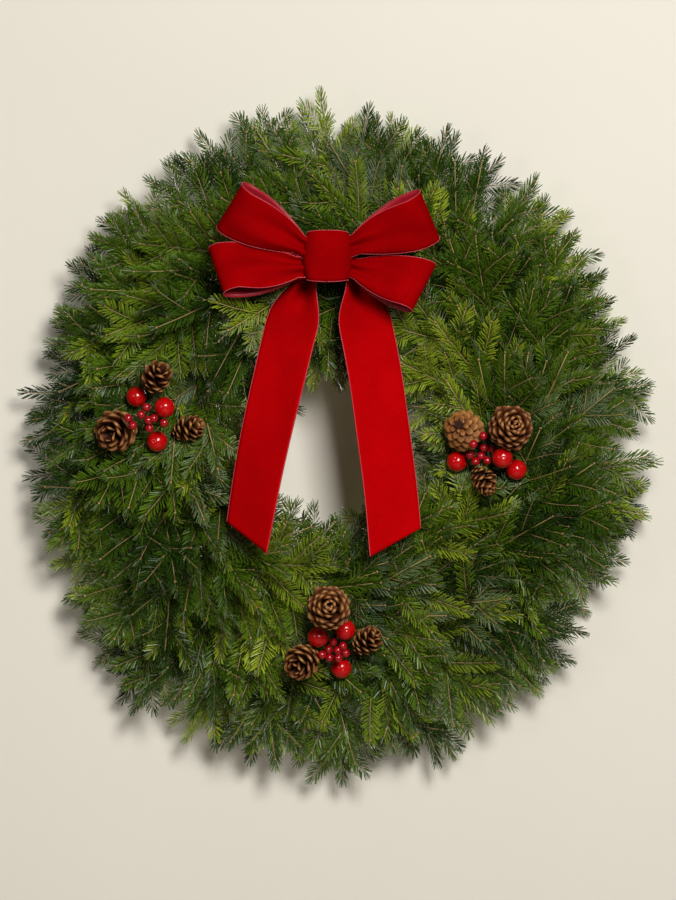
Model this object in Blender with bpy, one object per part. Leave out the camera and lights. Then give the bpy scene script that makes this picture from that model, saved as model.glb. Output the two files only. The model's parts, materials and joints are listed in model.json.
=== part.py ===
"""A fresh evergreen wreath with a velvet bow and three picks of cones and berries.

Boughs of fir are held bunch by bunch in the clamps of a steel ring, each bunch lying
over the stems of the next one, anticlockwise as seen from the front. The bow and the
picks are wired to the ring through the boughs. A wire loop behind the top hangs it.

X is to the right, +Z is up, and the front faces -Y. The origin is where a hook bears
on the hanging loop. Everything is placed from the middle of the ring, below it.
"""

import math

import bmesh
import bpy
from mathutils import Vector
from mathutils.bvhtree import BVHTree

MM = 0.001
GAP = 0.3 * MM  # clearance kept between pieces that touch

# The frame: a 16 inch clamp ring of steel rod.
RING_RADIUS = 203 * MM
ROD_RADIUS = 2.0 * MM
CLAMP_WIRE_RADIUS = 1.6 * MM
HANGER_ABOVE_RING = 35 * MM  # from the rod's middle up to where the hook bears
LOOP_WIRE_RADIUS = 1.0 * MM
LOOP_HALF_WIDTH = 8 * MM
LOOP_HALF_HEIGHT = 12 * MM

# The boughs: bunches of fir tips that fan out from the clamps.
BUNCH_COUNT = 18
FIRST_CLAMP_DEG = 80.0
NECK_DEPTH = 11.0 * MM  # middle of the tied stems, in front of the rod's middle
RAMP_START_DEG = 4.5  # past the clamp, where a bunch starts to rise over the next one
RAMP_PER_DEG = 2.3 * MM  # how fast it rises
EDGE_FALL = 16.0  # per square metre: how the boughs lie back towards the rims
OVAL = 0.088  # how much further the outer tips reach at top and bottom
OVAL_FROM = 120 * MM  # outside the rod, where that stretch is complete
DROOP = 0.20  # how much further the inner tips hang down into the opening at the top
FOCUS = 22 * MM  # where the tips fan out from, past the clamp
BUTT_REACH = 46 * MM  # the cut stem ends, back from the focus
# One row for each tip of a bunch: angle out from the way the bunch points, and reach.
TIPS = (
    (-84, 129 * MM),
    (-60, 147 * MM),
    (-36, 150 * MM),
    (-12, 148 * MM),
    (12, 150 * MM),
    (35, 152 * MM),
    (57, 149 * MM),
    (79, 138 * MM),
)

# The bow, of 2.5 inch wired velvet ribbon.
RIBBON_WIDTH = 63.5 * MM
RIBBON_THICKNESS = 1.2 * MM
CUT_SLANT = 13 * MM  # how far each side of a cut end is from square
BOW_X, BOW_Z = -6 * MM, 195 * MM
BAND_WIDTH, BAND_HEIGHT, BAND_DEPTH = 52 * MM, 58 * MM, 40 * MM
# One row for each loop: where it leaves the band, the middle of its outer fold, the
# turn of the fold out of square, how far its open side leans forward, and its fullness.
BOW_LOOPS = {
    "upper_left": ((-29, 203.5), (-112, 251), -2, 24, 20),
    "lower_left": ((-29, 183), (-127, 178), 16, -26, 18),
    "upper_right": ((17, 205), (105, 241), -1, 24, 21),
    "lower_right": ((17, 184), (99, 160), 11, -26, 18),
}
# Down the middle of each tail, from the band to the cut end.
BOW_TAILS = {
    "left": ((-22, 196), (-30, 168), (-43, 124), (-57, 62), (-69, 6), (-80, -48), (-91, -111)),
    "right": ((14, 196), (26, 168), (35, 124), (46, 66), (55, 2), (63, -60), (68, -116)),
}

# The picks: x, z, diameter, length, and the way the tip points (x, forward, z).
CONES = {
    "left_cone_top": (-193, 63, 33, 41, (0.35, 0.75, 0.6)),
    "left_cone_outer": (-235, 6, 46, 46, (-0.35, 0.9, -0.1)),
    "left_cone_inner": (-160, 8, 30, 38, (0.85, 0.45, 0.25)),
    "right_cone_inner": (141, 8, 46, 44, (-0.25, 0.95, 0.1)),
    "right_cone_outer": (193, 9, 50, 50, (0.2, 0.95, 0.15)),
    "right_cone_bottom": (164, -48, 28, 36, (0.5, 0.45, -0.75)),
    "bottom_cone_top": (-5, -187, 50, 46, (0.05, 0.97, 0.12)),
    "bottom_cone_right": (37, -225, 30, 38, (0.6, 0.5, 0.55)),
    "bottom_cone_left": (-33, -246, 39, 43, (-0.4, 0.75, -0.35)),
}
LARGE_BERRY_RADIUS = 11 * MM
# Each large berry: x, z, and how far it stands forward of the boughs.
LARGE_BERRIES = {
    "left_berry_upper": (-215.6, 43, 0),
    "left_berry_inner": (-184, 31, 0),
    "left_berry_lower": (-192.5, -6, 0),
    "right_berry_inner": (136, -28, 1),
    "right_berry_outer": (185, -24, 9),
    "right_berry_back": (201, -37, 0),
    "bottom_berry_left": (-16.5, -220, 30),
    "bottom_berry_right": (13.5, -212.5, 8),
    "bottom_berry_lower": (9, -255, 0),
}
SMALL_BERRY_RADIUS = 4.2 * MM
STEM_RADIUS = 1.2 * MM
CHANNEL_RADIUS = 2.4 * MM  # the way kept free for a wire through the boughs
# Where the wires of each pick's small berries join, then each berry from there:
# to the right, up, and forward.
SPRAYS = {
    "left": (
        (-204, 14),
        ((1, 17, 7), (-5, 9, 12), (-18, 5, 43), (3, 3, 8), (9, 5, 12), (-13, -3, 43), (4, -6, 8), (20, 0, 9)),
    ),
    "right": (
        (161, -14),
        ((3, 14, 37), (-8, 5, 46), (4, 1, 13), (13, 0, 7), (-11, -7, 12), (1, -8, 8), (-5, -14, 11), (8, -13, 9)),
    ),
    "bottom": (
        (1, -236),
        ((-1, 10, 9), (10, 6, 14), (-6, 2, 12), (4, 1, 8), (13, -2, 10), (-13, -3, 41), (-5, -7, 8), (5, -7, 30)),
    ),
}


def clear_scene():
    for obj in list(bpy.data.objects):
        bpy.data.objects.remove(obj, do_unlink=True)


def material(name, colour, roughness, metallic=0.0):
    made = bpy.data.materials.new(name)
    made.use_nodes = True
    shader = made.node_tree.nodes["Principled BSDF"]
    shader.inputs["Base Color"].default_value = (*colour, 1.0)
    shader.inputs["Roughness"].default_value = roughness
    shader.inputs["Metallic"].default_value = metallic
    made.diffuse_color = (*colour, 1.0)
    return made


clear_scene()
STEEL = material("green_coated_steel", (0.045, 0.085, 0.05), 0.45)
WIRE = material("florist_wire", (0.09, 0.12, 0.08), 0.5)
GREENS = [
    material(f"fir_green_{n}", colour, 0.6)
    for n, colour in enumerate(((0.05, 0.13, 0.03), (0.07, 0.17, 0.04), (0.10, 0.20, 0.05)))
]
VELVET = material("red_velvet", (0.42, 0.008, 0.016), 0.75)
BERRY = material("red_berry", (0.55, 0.012, 0.012), 0.18)
SCALES = material("cone_scales", (0.26, 0.13, 0.06), 0.7)

wreath = bpy.data.objects.new("wreath", None)
wreath.location = (0, 0, -(RING_RADIUS + HANGER_ABOVE_RING))
bpy.context.scene.collection.objects.link(wreath)


def finish(name, bm, surface, smooth=True):
    """Turns a bmesh into a named piece, placed from the middle of the ring."""
    bmesh.ops.recalc_face_normals(bm, faces=bm.faces)
    if bm.calc_volume(signed=True) < 0:
        bmesh.ops.reverse_faces(bm, faces=bm.faces)
    mesh = bpy.data.meshes.new(name)
    bm.to_mesh(mesh)
    bm.free()
    mesh.materials.append(surface)
    if smooth:
        mesh.shade_smooth()
        mesh.set_sharp_from_angle(angle=math.radians(45))
    obj = bpy.data.objects.new(name, mesh)
    obj.parent = wreath
    bpy.context.scene.collection.objects.link(obj)
    return obj


def helper(obj):
    obj.hide_render = True
    obj.display_type = "WIRE"
    return obj


def boolean(obj, other, operation, name):
    modifier = obj.modifiers.new(name, "BOOLEAN")
    modifier.operation = operation
    modifier.solver = "EXACT"
    modifier.object = other


def polar(radius, degrees):
    """A point in the plane of the ring, anticlockwise from the right."""
    turn = math.radians(degrees)
    return radius * math.cos(turn), radius * math.sin(turn)


def tube(bm, points, radius, sides, closed=False):
    """Sweeps a round wire along points, with flat ends unless it closes on itself."""
    rings = []
    count = len(points)
    side = None
    for n, point in enumerate(points):
        before = points[(n - 1) % count] if closed or n else point
        after = points[(n + 1) % count] if closed or n < count - 1 else point
        along = (after - before).normalized()
        if side is None:
            side = along.orthogonal().normalized()
        side = (side - along * side.dot(along)).normalized()
        other = along.cross(side)
        ring = []
        for k in range(sides):
            turn = 2 * math.pi * k / sides
            offset = side * math.cos(turn) + other * math.sin(turn)
            ring.append(bm.verts.new(point + offset * radius))
        rings.append(ring)
    loops = [[bm.edges.new((r[k - 1], r[k])) for k in range(sides)] for r in rings]
    for first, second in zip(loops, loops[1:]):
        bmesh.ops.bridge_loops(bm, edges=first + second)
    if closed:
        bmesh.ops.bridge_loops(bm, edges=loops[-1] + loops[0])
    else:
        for ring in (rings[0], rings[-1]):
            bmesh.ops.contextual_create(bm, geom=ring)


def circle_points(centre, across, up, count, turn=1.0, start=0.0):
    """Points round a circle or part of one, in the plane of two vectors."""
    steps = count if turn == 1.0 else count - 1
    angles = [2 * math.pi * (start + turn * k / steps) for k in range(count)]
    return [centre + across * math.cos(a) + up * math.sin(a) for a in angles]


# The ring with its clamps


def ring_point(degrees, outward=0.0, forward=0.0):
    x, z = polar(RING_RADIUS + outward, degrees)
    return Vector((x, -forward, z))


def clamp(degrees):
    """One bent clamp, welded across the rod and closed over the stems in front of it."""
    reach = 11.2 * MM
    out = Vector((*polar(1.0, degrees), 0.0)).xzy
    ahead = Vector((0, -1, 0))
    path = [ring_point(degrees, -reach)]
    path += circle_points(ring_point(degrees, 0, NECK_DEPTH), -out * reach, ahead * reach, 6, turn=0.5)
    path.append(ring_point(degrees, reach))
    bm = bmesh.new()
    tube(bm, path, CLAMP_WIRE_RADIUS, 5, closed=True)
    return helper(finish(f"clamp_at_{degrees:.0f}", bm, STEEL))


def make_ring():
    bm = bmesh.new()
    rod = circle_points(Vector(), Vector((RING_RADIUS, 0, 0)), Vector((0, 0, RING_RADIUS)), 60)
    tube(bm, rod, ROD_RADIUS, 6, closed=True)
    ring = finish("ring_frame", bm, STEEL)
    clamps = bpy.data.collections.new("clamps")
    for n in range(BUNCH_COUNT):
        clamps.objects.link(clamp(FIRST_CLAMP_DEG + n * 360 / BUNCH_COUNT))
    weld = ring.modifiers.new("weld_clamps", "BOOLEAN")
    weld.operation = "UNION"
    weld.solver = "EXACT"
    weld.operand_type = "COLLECTION"
    weld.collection = clamps
    return ring


def make_hanging_loop():
    """A wire loop whose ends are twisted together and wrapped round the rod."""
    top = Vector((0, 0, RING_RADIUS + HANGER_ABOVE_RING + LOOP_WIRE_RADIUS))
    middle = top - Vector((0, 0, LOOP_HALF_HEIGHT))
    wide, high = Vector((LOOP_HALF_WIDTH, 0, 0)), Vector((0, 0, LOOP_HALF_HEIGHT))
    bm = bmesh.new()
    tube(bm, circle_points(middle, wide, high, 20), LOOP_WIRE_RADIUS, 6, closed=True)
    loop = finish("hanging_loop", bm, WIRE)
    around = ROD_RADIUS + LOOP_WIRE_RADIUS + GAP
    rod = Vector((0, 0, RING_RADIUS))
    wrap = circle_points(rod, Vector((0, around, 0)), Vector((0, 0, around)), 10)
    foot = [rod + Vector((0, 0, around)), middle - high]
    for name, path, radius, closed in (
        ("wrap", wrap, LOOP_WIRE_RADIUS, True),
        ("twist", foot, LOOP_WIRE_RADIUS * 1.7, False),
    ):
        bm = bmesh.new()
        tube(bm, path, radius, 6, closed=closed)
        boolean(loop, helper(finish(f"loop_{name}", bm, WIRE)), "UNION", f"join_{name}")
    return loop


# The boughs


def seats():
    """Where the bow and the picks press the boughs back: place, reach and share."""
    yield BOW_X, BOW_Z - 6 * MM, 62 * MM, 0.28
    for (x, z), _ in SPRAYS.values():
        yield x * MM, z * MM, 48 * MM, 0.30


def lie_back(x, z):
    """The share of its full rise that the foliage has at a place seen from the front."""
    fall = EDGE_FALL * (math.hypot(x, z) - RING_RADIUS) ** 2
    share = max(0.25, 1 - fall)
    for at_x, at_z, reach, press in seats():
        share *= 1 - press * math.exp(-((x - at_x) ** 2 + (z - at_z) ** 2) / (2 * reach**2))
    return share


def bunch_depth(x, z, clamp_deg):
    """How far in front of the rod the middle of a bunch lies at a place."""
    past = (math.degrees(math.atan2(z, x)) - clamp_deg + 180) % 360 - 180
    return NECK_DEPTH + RAMP_PER_DEG * max(0.0, past - RAMP_START_DEG) * lie_back(x, z)


def bunch_outline(number, hang):
    """The outline from the focus, one row a point: angle, reach and half thickness."""
    points = []
    for k, (angle, reach) in enumerate(TIPS):
        inward = max(0.0, -math.sin(math.radians(angle)))
        vary = 1 + 0.055 * math.sin(2.3 * number + 1.7 * k) + DROOP * inward * hang
        lean = 3.0 * math.sin(1.9 * number + 2.1 * k)
        tip, half = reach * vary, 9.5
        points += [
            (angle + lean - half, 0.44 * tip, 5.5 * MM),
            (angle + lean - 5.0, 0.80 * tip, 7.0 * MM),
            (angle + lean, tip, 11.0 * MM),
            (angle + lean + 5.0, 0.80 * tip, 7.0 * MM),
        ]
    points.append((TIPS[-1][0] + 14, 0.36 * TIPS[-1][1], 5.5 * MM))
    points += [(135, 11.5 * MM, 6 * MM), (170, BUTT_REACH, 7 * MM), (180, BUTT_REACH + 2 * MM, 7 * MM)]
    points += [(190, BUTT_REACH, 7 * MM), (225, 11.5 * MM, 6 * MM)]
    return points


def make_bunch(number):
    """A flattened ball whose rim is drawn out into fir tips and one tied neck."""
    clamp_deg = FIRST_CLAMP_DEG + number * 360 / BUNCH_COUNT
    out = Vector(polar(1.0, clamp_deg))
    along = Vector((-out.y, out.x))
    focus = out * RING_RADIUS + along * FOCUS
    outline = bunch_outline(number, max(0.0, out.y))
    bm = bmesh.new()
    ball = bmesh.ops.create_uvsphere(bm, u_segments=len(outline), v_segments=4, radius=1.0)
    for vert in ball["verts"]:
        across = math.hypot(vert.co.x, vert.co.y)
        side = 0 if abs(vert.co.z) < 0.1 else math.copysign(1, vert.co.z)
        if across < 0.1:
            place, height = focus, 6.5 * MM
        else:
            turn = math.atan2(vert.co.y, vert.co.x) / (2 * math.pi)
            angle, reach, height = outline[round(turn * len(outline)) % len(outline)]
            share = 1.0 if side == 0 else (0.6 if reach > 60 * MM else 0.7)
            bent = math.radians(angle)
            arm = (along * math.cos(bent) + out * math.sin(bent)) * reach * share
            place = focus + arm
            beyond = min(1.0, max(0.0, (place.length - RING_RADIUS) / OVAL_FROM))
            place = place * (1 + OVAL * beyond * (place.y / place.length) ** 2)
        depth = bunch_depth(place.x, place.y, clamp_deg)
        vert.co = (place.x, -depth - side * height, place.y)
    return finish(f"bough_bunch_{number + 1:02d}", bm, GREENS[number % 3], smooth=False)


def foliage_tree(bunches):
    """All the boughs as one tree of faces, to seat other pieces against."""
    together = bmesh.new()
    for bunch in bunches:
        together.from_mesh(bunch.data)
    tree = BVHTree.FromBMesh(together)
    together.free()
    return tree


def front_of_boughs(tree, x, z, radius, squareness=1.0):
    """The y at which a ball of this radius just touches the boughs from the front."""
    found = -NECK_DEPTH
    rings = ((0.0, 1), (0.25, 6), (0.45, 12), (0.65, 18), (0.82, 24), (0.97, 30))
    for share, count in rings:
        for k in range(count):
            turn = 2 * math.pi * (k + share) / count
            start = Vector((x + radius * share * math.cos(turn), -1, z + radius * share * math.sin(turn)))
            hit = tree.ray_cast(start, Vector((0, 1, 0)))[0]
            if hit is not None:
                found = min(found, hit.y - squareness * radius * math.sqrt(1 - share**2))
    return found - 2 * GAP


# The bow


def ribbon_solid(name, rows, surface, thickness=RIBBON_THICKNESS, closed=False):
    """Joins rows of points across a ribbon and gives the strip its thickness."""
    bm = bmesh.new()
    lines = [[bm.verts.new(point) for point in row] for row in rows]
    edges = [[bm.edges.new(pair) for pair in zip(line, line[1:])] for line in lines]
    for first, second in zip(edges, edges[1:] + ([edges[0]] if closed else [])):
        bmesh.ops.bridge_loops(bm, edges=first + second)
    bmesh.ops.recalc_face_normals(bm, faces=bm.faces)
    bmesh.ops.solidify(bm, geom=bm.faces[:], thickness=thickness)
    return finish(name, bm, surface)


def smooth_path(points, count):
    """Evenly spread points on a smooth curve through a few given ones."""
    ends = [points[0] * 2 - points[1], *points, points[-1] * 2 - points[-2]]
    path = []
    for k in range(count):
        place = k / (count - 1) * (len(points) - 1)
        n = min(int(place), len(points) - 2)
        t = place - n
        a, b, c, d = ends[n : n + 4]
        path.append(
            0.5
            * (2 * b + (c - a) * t + (2 * a - 5 * b + 4 * c - d) * t**2 + (3 * b - a - 3 * c + d) * t**3)
        )
    return path


def make_bow_loop(name, row, band_y):
    (px, pz), (ex, ez), turn, lean, fullness = row
    ahead_of_band = (3 if name.startswith("upper") else -4) * MM
    pinch = Vector((px * MM, band_y - ahead_of_band, pz * MM))
    end = Vector((ex * MM, band_y - 8 * MM - 0.5 * ahead_of_band, ez * MM))
    way = end - pinch
    reach = way.length
    way.normalize()
    up = Vector((0, -1, 0)).cross(way) * (1 if way.x > 0 else -1)
    turned, leaned = math.radians(turn), math.radians(lean)
    rows = []
    stations = 18
    for k in range(stations):
        t = 0.055 + 0.89 * k / (stations - 1)
        go = math.sin(math.pi * t)
        bulge = math.sin(2 * math.pi * t) * go**0.55
        open_up = min(1.0, go**1.4 * 1.25)
        share = max(0.0, (go - 0.29) / 0.71)
        width = RIBBON_WIDTH * (1 - 0.66 * (1 - share) ** 2.2)
        twist = turned * open_up
        across = up * math.cos(twist) + way * math.sin(twist)
        across = across * math.cos(leaned * open_up) + Vector((0, -1, 0)) * math.sin(leaned * open_up)
        ahead = Vector((0, -1, 0)) * math.cos(leaned * open_up) - up * math.sin(leaned * open_up)
        spread = fullness * MM * (1.0 if t < 0.5 else 0.55)
        apart = (2 if t < 0.5 else -2) * MM * (1 - open_up)
        middle = pinch + way * (reach * (go - 0.17) / 0.83) + ahead * (bulge * spread + apart)
        rows.append([middle + across * width * s for s in (-0.5, 0.0, 0.5)])
    return ribbon_solid(f"bow_loop_{name}", rows, VELVET)


def make_bow_tail(name, middles, start_y, hang_y):
    """A tail that hangs from behind the band and ends in a slanting cut."""
    side = -1 if name == "left" else 1
    path = smooth_path([Vector((x * MM, 0, z * MM)) for x, z in middles], 16)
    rows = []
    for n, point in enumerate(path):
        t = n / (len(path) - 1)
        along = (path[min(n + 1, len(path) - 1)] - path[max(n - 1, 0)]).normalized()
        across = Vector((-along.z, 0, along.x))
        width = RIBBON_WIDTH * (0.40 + 0.60 * min(1.0, t * 2.3))
        settle = min(1.0, max(0.0, t - 0.16) / 0.3)
        y = start_y + (hang_y - start_y) * settle * settle * (3 - 2 * settle)
        y += 2.2 * MM * math.sin(9 * t + side)
        cut = CUT_SLANT * max(0.0, t - 0.8) / 0.2
        row = []
        for s in (-0.5, -0.17, 0.17, 0.5):
            fold = 4 * MM * math.cos(math.pi * s) * (1 - 0.7 * t)
            place = point + across * width * s + along * cut * 2 * s * -side
            row.append(place + Vector((0, y + fold, 0)))
        rows.append(row)
    return ribbon_solid(f"bow_tail_{name}", rows, VELVET)


def make_bow(tree):
    """Seats the bow on the boughs: tails behind, then the loops in their band."""
    behind = front_of_boughs(tree, BOW_X, BOW_Z - 5 * MM, 40 * MM, squareness=0.15)
    start_y = behind - 6.5 * MM
    band_y = start_y - 6 * MM - BAND_DEPTH / 2
    middle = Vector((BOW_X, band_y, BOW_Z))
    rows = []
    for k in range(18):
        turn = 2 * math.pi * k / 18
        rows.append([])
        for s in (-1.0, -0.5, 0.5, 1.0):
            swell = 1 - 0.035 * s * s
            y = BAND_DEPTH / 2 * swell * math.copysign(abs(math.cos(turn)) ** 0.65, math.cos(turn))
            z = BAND_HEIGHT / 2 * swell * math.copysign(abs(math.sin(turn)) ** 0.65, math.sin(turn))
            rows[-1].append(middle + Vector((s * BAND_WIDTH / 2, y, z)))
    pieces = [ribbon_solid("bow_center_band", rows, VELVET, 1.5 * MM, closed=True)]
    for name, row in BOW_LOOPS.items():
        pieces.append(make_bow_loop(name, row, band_y))
    for name, middles in BOW_TAILS.items():
        pieces.append(make_bow_tail(name, middles, start_y, start_y - 20 * MM))
    return start_y, pieces


# The picks


def point_along(direction):
    x, ahead, z = direction
    return Vector((x, -ahead, z)).normalized()


def make_cone(name, row, tree):
    """A fir cone whose scales show as staggered bumps round a closed body."""
    x, z, diameter, length, direction = row
    bm = bmesh.new()
    ball = bmesh.ops.create_uvsphere(bm, u_segments=14, v_segments=8, radius=1.0)
    for vert in ball["verts"]:
        across = math.hypot(vert.co.x, vert.co.y)
        level = round(8 * math.acos(max(-1.0, min(1.0, vert.co.z))) / math.pi)
        place = level / 8
        if across > 0.05:
            column = round(math.atan2(vert.co.y, vert.co.x) * 14 / (2 * math.pi))
            bump = 1.0 if (column + level) % 2 else 0.80
            girth = diameter * MM / 2 * math.sin(math.pi * place**1.25) ** 0.62 * bump
            vert.co.x, vert.co.y = vert.co.x / across * girth, vert.co.y / across * girth
        vert.co.z = length * MM * (0.5 - place)
    cone = finish(name, bm, SCALES, smooth=False)
    cone.rotation_mode = "QUATERNION"
    cone.rotation_quaternion = point_along(direction).to_track_quat("Z", "Y")
    radius = max(diameter, 0.9 * length) / 2 * MM
    cone.location = (x * MM, front_of_boughs(tree, x * MM, z * MM, radius) - 2 * MM, z * MM)
    return cone


def make_large_berry(name, place, tree):
    """A turned berry with its blossom end in front and a short wire stem behind."""
    x, z, forward = (value * MM for value in place)
    radius = LARGE_BERRY_RADIUS
    profile = [(0.0, 0.97), (0.12, 0.99), (0.16, 1.0), (0.5, 0.87), (0.87, 0.5), (1.0, 0.0)]
    profile += [(0.87, -0.5), (0.5, -0.87), (0.11, -0.99), (0.11, -1.35), (0.0, -1.35)]
    bm = bmesh.new()
    verts = [bm.verts.new((r * radius, -h * radius, 0)) for r, h in profile]
    edges = [bm.edges.new(pair) for pair in zip(verts, verts[1:])]
    bmesh.ops.spin(
        bm, geom=verts + edges, cent=(0, 0, 0), axis=(0, 1, 0), angle=2 * math.pi, steps=10, use_merge=True
    )
    bmesh.ops.remove_doubles(bm, verts=bm.verts, dist=0.00001)
    berry = finish(name, bm, BERRY)
    berry.location = (x, front_of_boughs(tree, x, z, radius * 1.12) - 2.2 * MM - forward, z)
    return berry


def small_ball(bm, place):
    ball = bmesh.ops.create_uvsphere(bm, u_segments=7, v_segments=5, radius=SMALL_BERRY_RADIUS)
    bmesh.ops.translate(bm, verts=ball["verts"], vec=place)


def wire_through(join, foot_deg):
    """The straight wire from a joint in front of the boughs back to the rod."""
    rod = ring_point(foot_deg)
    return [join, rod + (join - rod).normalized() * (ROD_RADIUS + STEM_RADIUS + GAP)]


def rod_wrap(foot_deg):
    """The turn of wire round the rod at the end of a stem."""
    rod = ring_point(foot_deg)
    out = Vector((*polar(1.0, foot_deg), 0.0)).xzy
    around = ROD_RADIUS + STEM_RADIUS + GAP
    return circle_points(rod, out * around, Vector((0, around, 0)), 10)


def join_wires(obj, name, paths):
    for n, (path, radius, closed) in enumerate(paths):
        bm = bmesh.new()
        tube(bm, path, radius, 5, closed=closed)
        boolean(obj, helper(finish(f"{name}_wire_{n}", bm, WIRE)), "UNION", f"join_{n}")


def make_spray(name, row, tree):
    """Eight small berries on wires that join and run back through the boughs."""
    (cx, cz), offsets = row
    x, z = cx * MM, cz * MM
    join = Vector((x, front_of_boughs(tree, x, z, 7 * MM) - 1 * MM, z))
    degrees = math.degrees(math.atan2(z, x))
    lift = min(front_of_boughs(tree, x + dx * MM, z + dz * MM, 4 * MM) for dx, dz, _ in offsets)
    bm = bmesh.new()
    tube(bm, wire_through(join, degrees), STEM_RADIUS, 6)
    spray = finish(f"{name}_berry_spray", bm, BERRY)
    wires = [(rod_wrap(degrees), STEM_RADIUS, True)]
    for n, (dx, dz, ahead) in enumerate(offsets):
        place = Vector((x + dx * MM, min(lift, join.y) - ahead * MM, z + dz * MM))
        wires.append(([join + Vector((0, 0.6 * MM, 0)), place], STEM_RADIUS * 0.7, False))
        bm = bmesh.new()
        small_ball(bm, place)
        boolean(spray, helper(finish(f"{name}_small_berry_{n}", bm, BERRY)), "UNION", f"berry_{n}")
    join_wires(spray, name, wires)
    return join, degrees, spray


def make_tie_wire(join):
    """The wire that ties the bow, from behind its tails back to the rod."""
    degrees = math.degrees(math.atan2(BOW_Z, BOW_X))
    bm = bmesh.new()
    tube(bm, wire_through(join, degrees), STEM_RADIUS, 6)
    wire = finish("bow_tie_wire", bm, WIRE)
    join_wires(wire, "bow_tie", [(rod_wrap(degrees), STEM_RADIUS, True)])
    return degrees


def open_channel(name, join, foot_deg, bunches):
    """Keeps a way through the boughs free for one wire."""
    rod = ring_point(foot_deg)
    way = (join - rod).normalized()
    bm = bmesh.new()
    tube(bm, [rod + way * (ROD_RADIUS + 1 * MM), join + way * 25 * MM], CHANNEL_RADIUS, 6)
    cutter = helper(finish(f"{name}_channel", bm, WIRE))
    path = [rod.lerp(join, k / 30) for k in range(33)]
    for bunch in bunches:
        around = BVHTree.FromPolygons(
            [v.co for v in bunch.data.vertices], [tuple(p.vertices) for p in bunch.data.polygons]
        )
        if any(around.find_nearest(point)[3] < 3 * CHANNEL_RADIUS for point in path):
            boolean(bunch, cutter, "DIFFERENCE", f"{name}_channel")


make_ring()
make_hanging_loop()
bunches = [make_bunch(n) for n in range(BUNCH_COUNT)]
tree = foliage_tree(bunches)
for cone_name, cone_row in CONES.items():
    make_cone(cone_name, cone_row, tree)
for berry_name, berry_place in LARGE_BERRIES.items():
    make_large_berry(berry_name, berry_place, tree)
bow_back, _ = make_bow(tree)
bow_join = Vector((BOW_X, bow_back + 2 * MM, BOW_Z))
open_channel("bow_tie", bow_join, make_tie_wire(bow_join), bunches)
for pick, pick_row in SPRAYS.items():
    spray_join, spray_deg, _ = make_spray(pick, pick_row, tree)
    open_channel(pick, spray_join, spray_deg, bunches)
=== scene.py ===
# %% [markdown]
# # A fresh evergreen wreath with a velvet bow
# Fir boughs are held bunch by bunch in the clamps of a steel ring. Each bunch lies over the
# stems of the next one, so the whole ring swirls anticlockwise. A velvet bow and three picks
# of cones and berries are wired on top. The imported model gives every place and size, and
# this lesson gives each piece its real shape and finish.

import json
import math
import random

import bmesh
import bpy
import numpy as np
from mathutils import Matrix, Vector
from mathutils.bvhtree import BVHTree

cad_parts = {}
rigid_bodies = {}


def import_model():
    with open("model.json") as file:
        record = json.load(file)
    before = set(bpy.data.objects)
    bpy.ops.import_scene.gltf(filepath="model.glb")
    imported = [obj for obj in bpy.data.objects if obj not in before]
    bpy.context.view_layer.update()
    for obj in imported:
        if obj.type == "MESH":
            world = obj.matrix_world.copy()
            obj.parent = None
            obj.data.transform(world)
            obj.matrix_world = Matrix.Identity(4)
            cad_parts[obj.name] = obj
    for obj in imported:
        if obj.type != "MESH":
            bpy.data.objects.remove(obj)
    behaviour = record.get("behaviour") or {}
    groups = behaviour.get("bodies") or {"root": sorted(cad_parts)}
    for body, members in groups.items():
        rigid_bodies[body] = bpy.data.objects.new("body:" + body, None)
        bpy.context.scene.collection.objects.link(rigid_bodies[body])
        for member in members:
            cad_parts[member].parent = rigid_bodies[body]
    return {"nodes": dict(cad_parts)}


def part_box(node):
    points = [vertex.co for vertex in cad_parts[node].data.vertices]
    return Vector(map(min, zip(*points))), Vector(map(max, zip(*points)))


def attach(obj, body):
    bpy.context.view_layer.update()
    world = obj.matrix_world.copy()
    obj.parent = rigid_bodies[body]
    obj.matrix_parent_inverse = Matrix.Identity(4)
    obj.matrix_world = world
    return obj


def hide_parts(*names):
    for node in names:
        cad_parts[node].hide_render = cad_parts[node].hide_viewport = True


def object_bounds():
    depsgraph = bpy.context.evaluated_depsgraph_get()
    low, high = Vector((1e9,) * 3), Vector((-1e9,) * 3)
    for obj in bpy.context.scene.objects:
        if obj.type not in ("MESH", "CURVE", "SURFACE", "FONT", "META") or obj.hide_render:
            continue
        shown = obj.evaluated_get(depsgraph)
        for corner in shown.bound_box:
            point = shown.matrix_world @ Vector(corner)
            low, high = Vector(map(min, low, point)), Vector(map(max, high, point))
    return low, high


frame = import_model()
cad_low, cad_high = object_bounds()
MM = 0.001
ring_low, ring_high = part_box("ring_frame")
MIDDLE = Vector(((ring_low.x + ring_high.x) / 2, 0, (ring_low.z + ring_high.z) / 2))
print("nodes", len(frame["nodes"]), "middle of the ring", [round(v, 4) for v in MIDDLE])

# %% [markdown]
# ## The view, the wall and the light
# The wreath is looked at square on from six metres, as across a front garden. A long lens
# keeps its sides parallel. A pale wall stands close behind and takes the soft shadow, and it is
# seen only from its front, so that the back of the wreath can be looked at too. One large
# soft light stands high on the right, and the room fills the rest.

# %% Set up the camera
VIEW_DISTANCE = 6.0
VIEW_HEIGHT = 0.990  # metres seen from the bottom to the top of the view
VIEW_MIDDLE = MIDDLE + Vector((5.5, -60, -15.4)) * MM

camera_data = bpy.data.cameras.new("camera")
camera_data.lens = camera_data.sensor_width * VIEW_DISTANCE / VIEW_HEIGHT
camera = bpy.data.objects.new("camera", camera_data)
camera.location = VIEW_MIDDLE + Vector((0, -VIEW_DISTANCE, 0))
camera.rotation_euler = (math.pi / 2, 0, 0)
bpy.context.scene.collection.objects.link(camera)
bpy.context.scene.camera = camera
bpy.context.scene.view_settings.view_transform = "Standard"
print("lens", round(camera_data.lens, 1), "mm")


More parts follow.
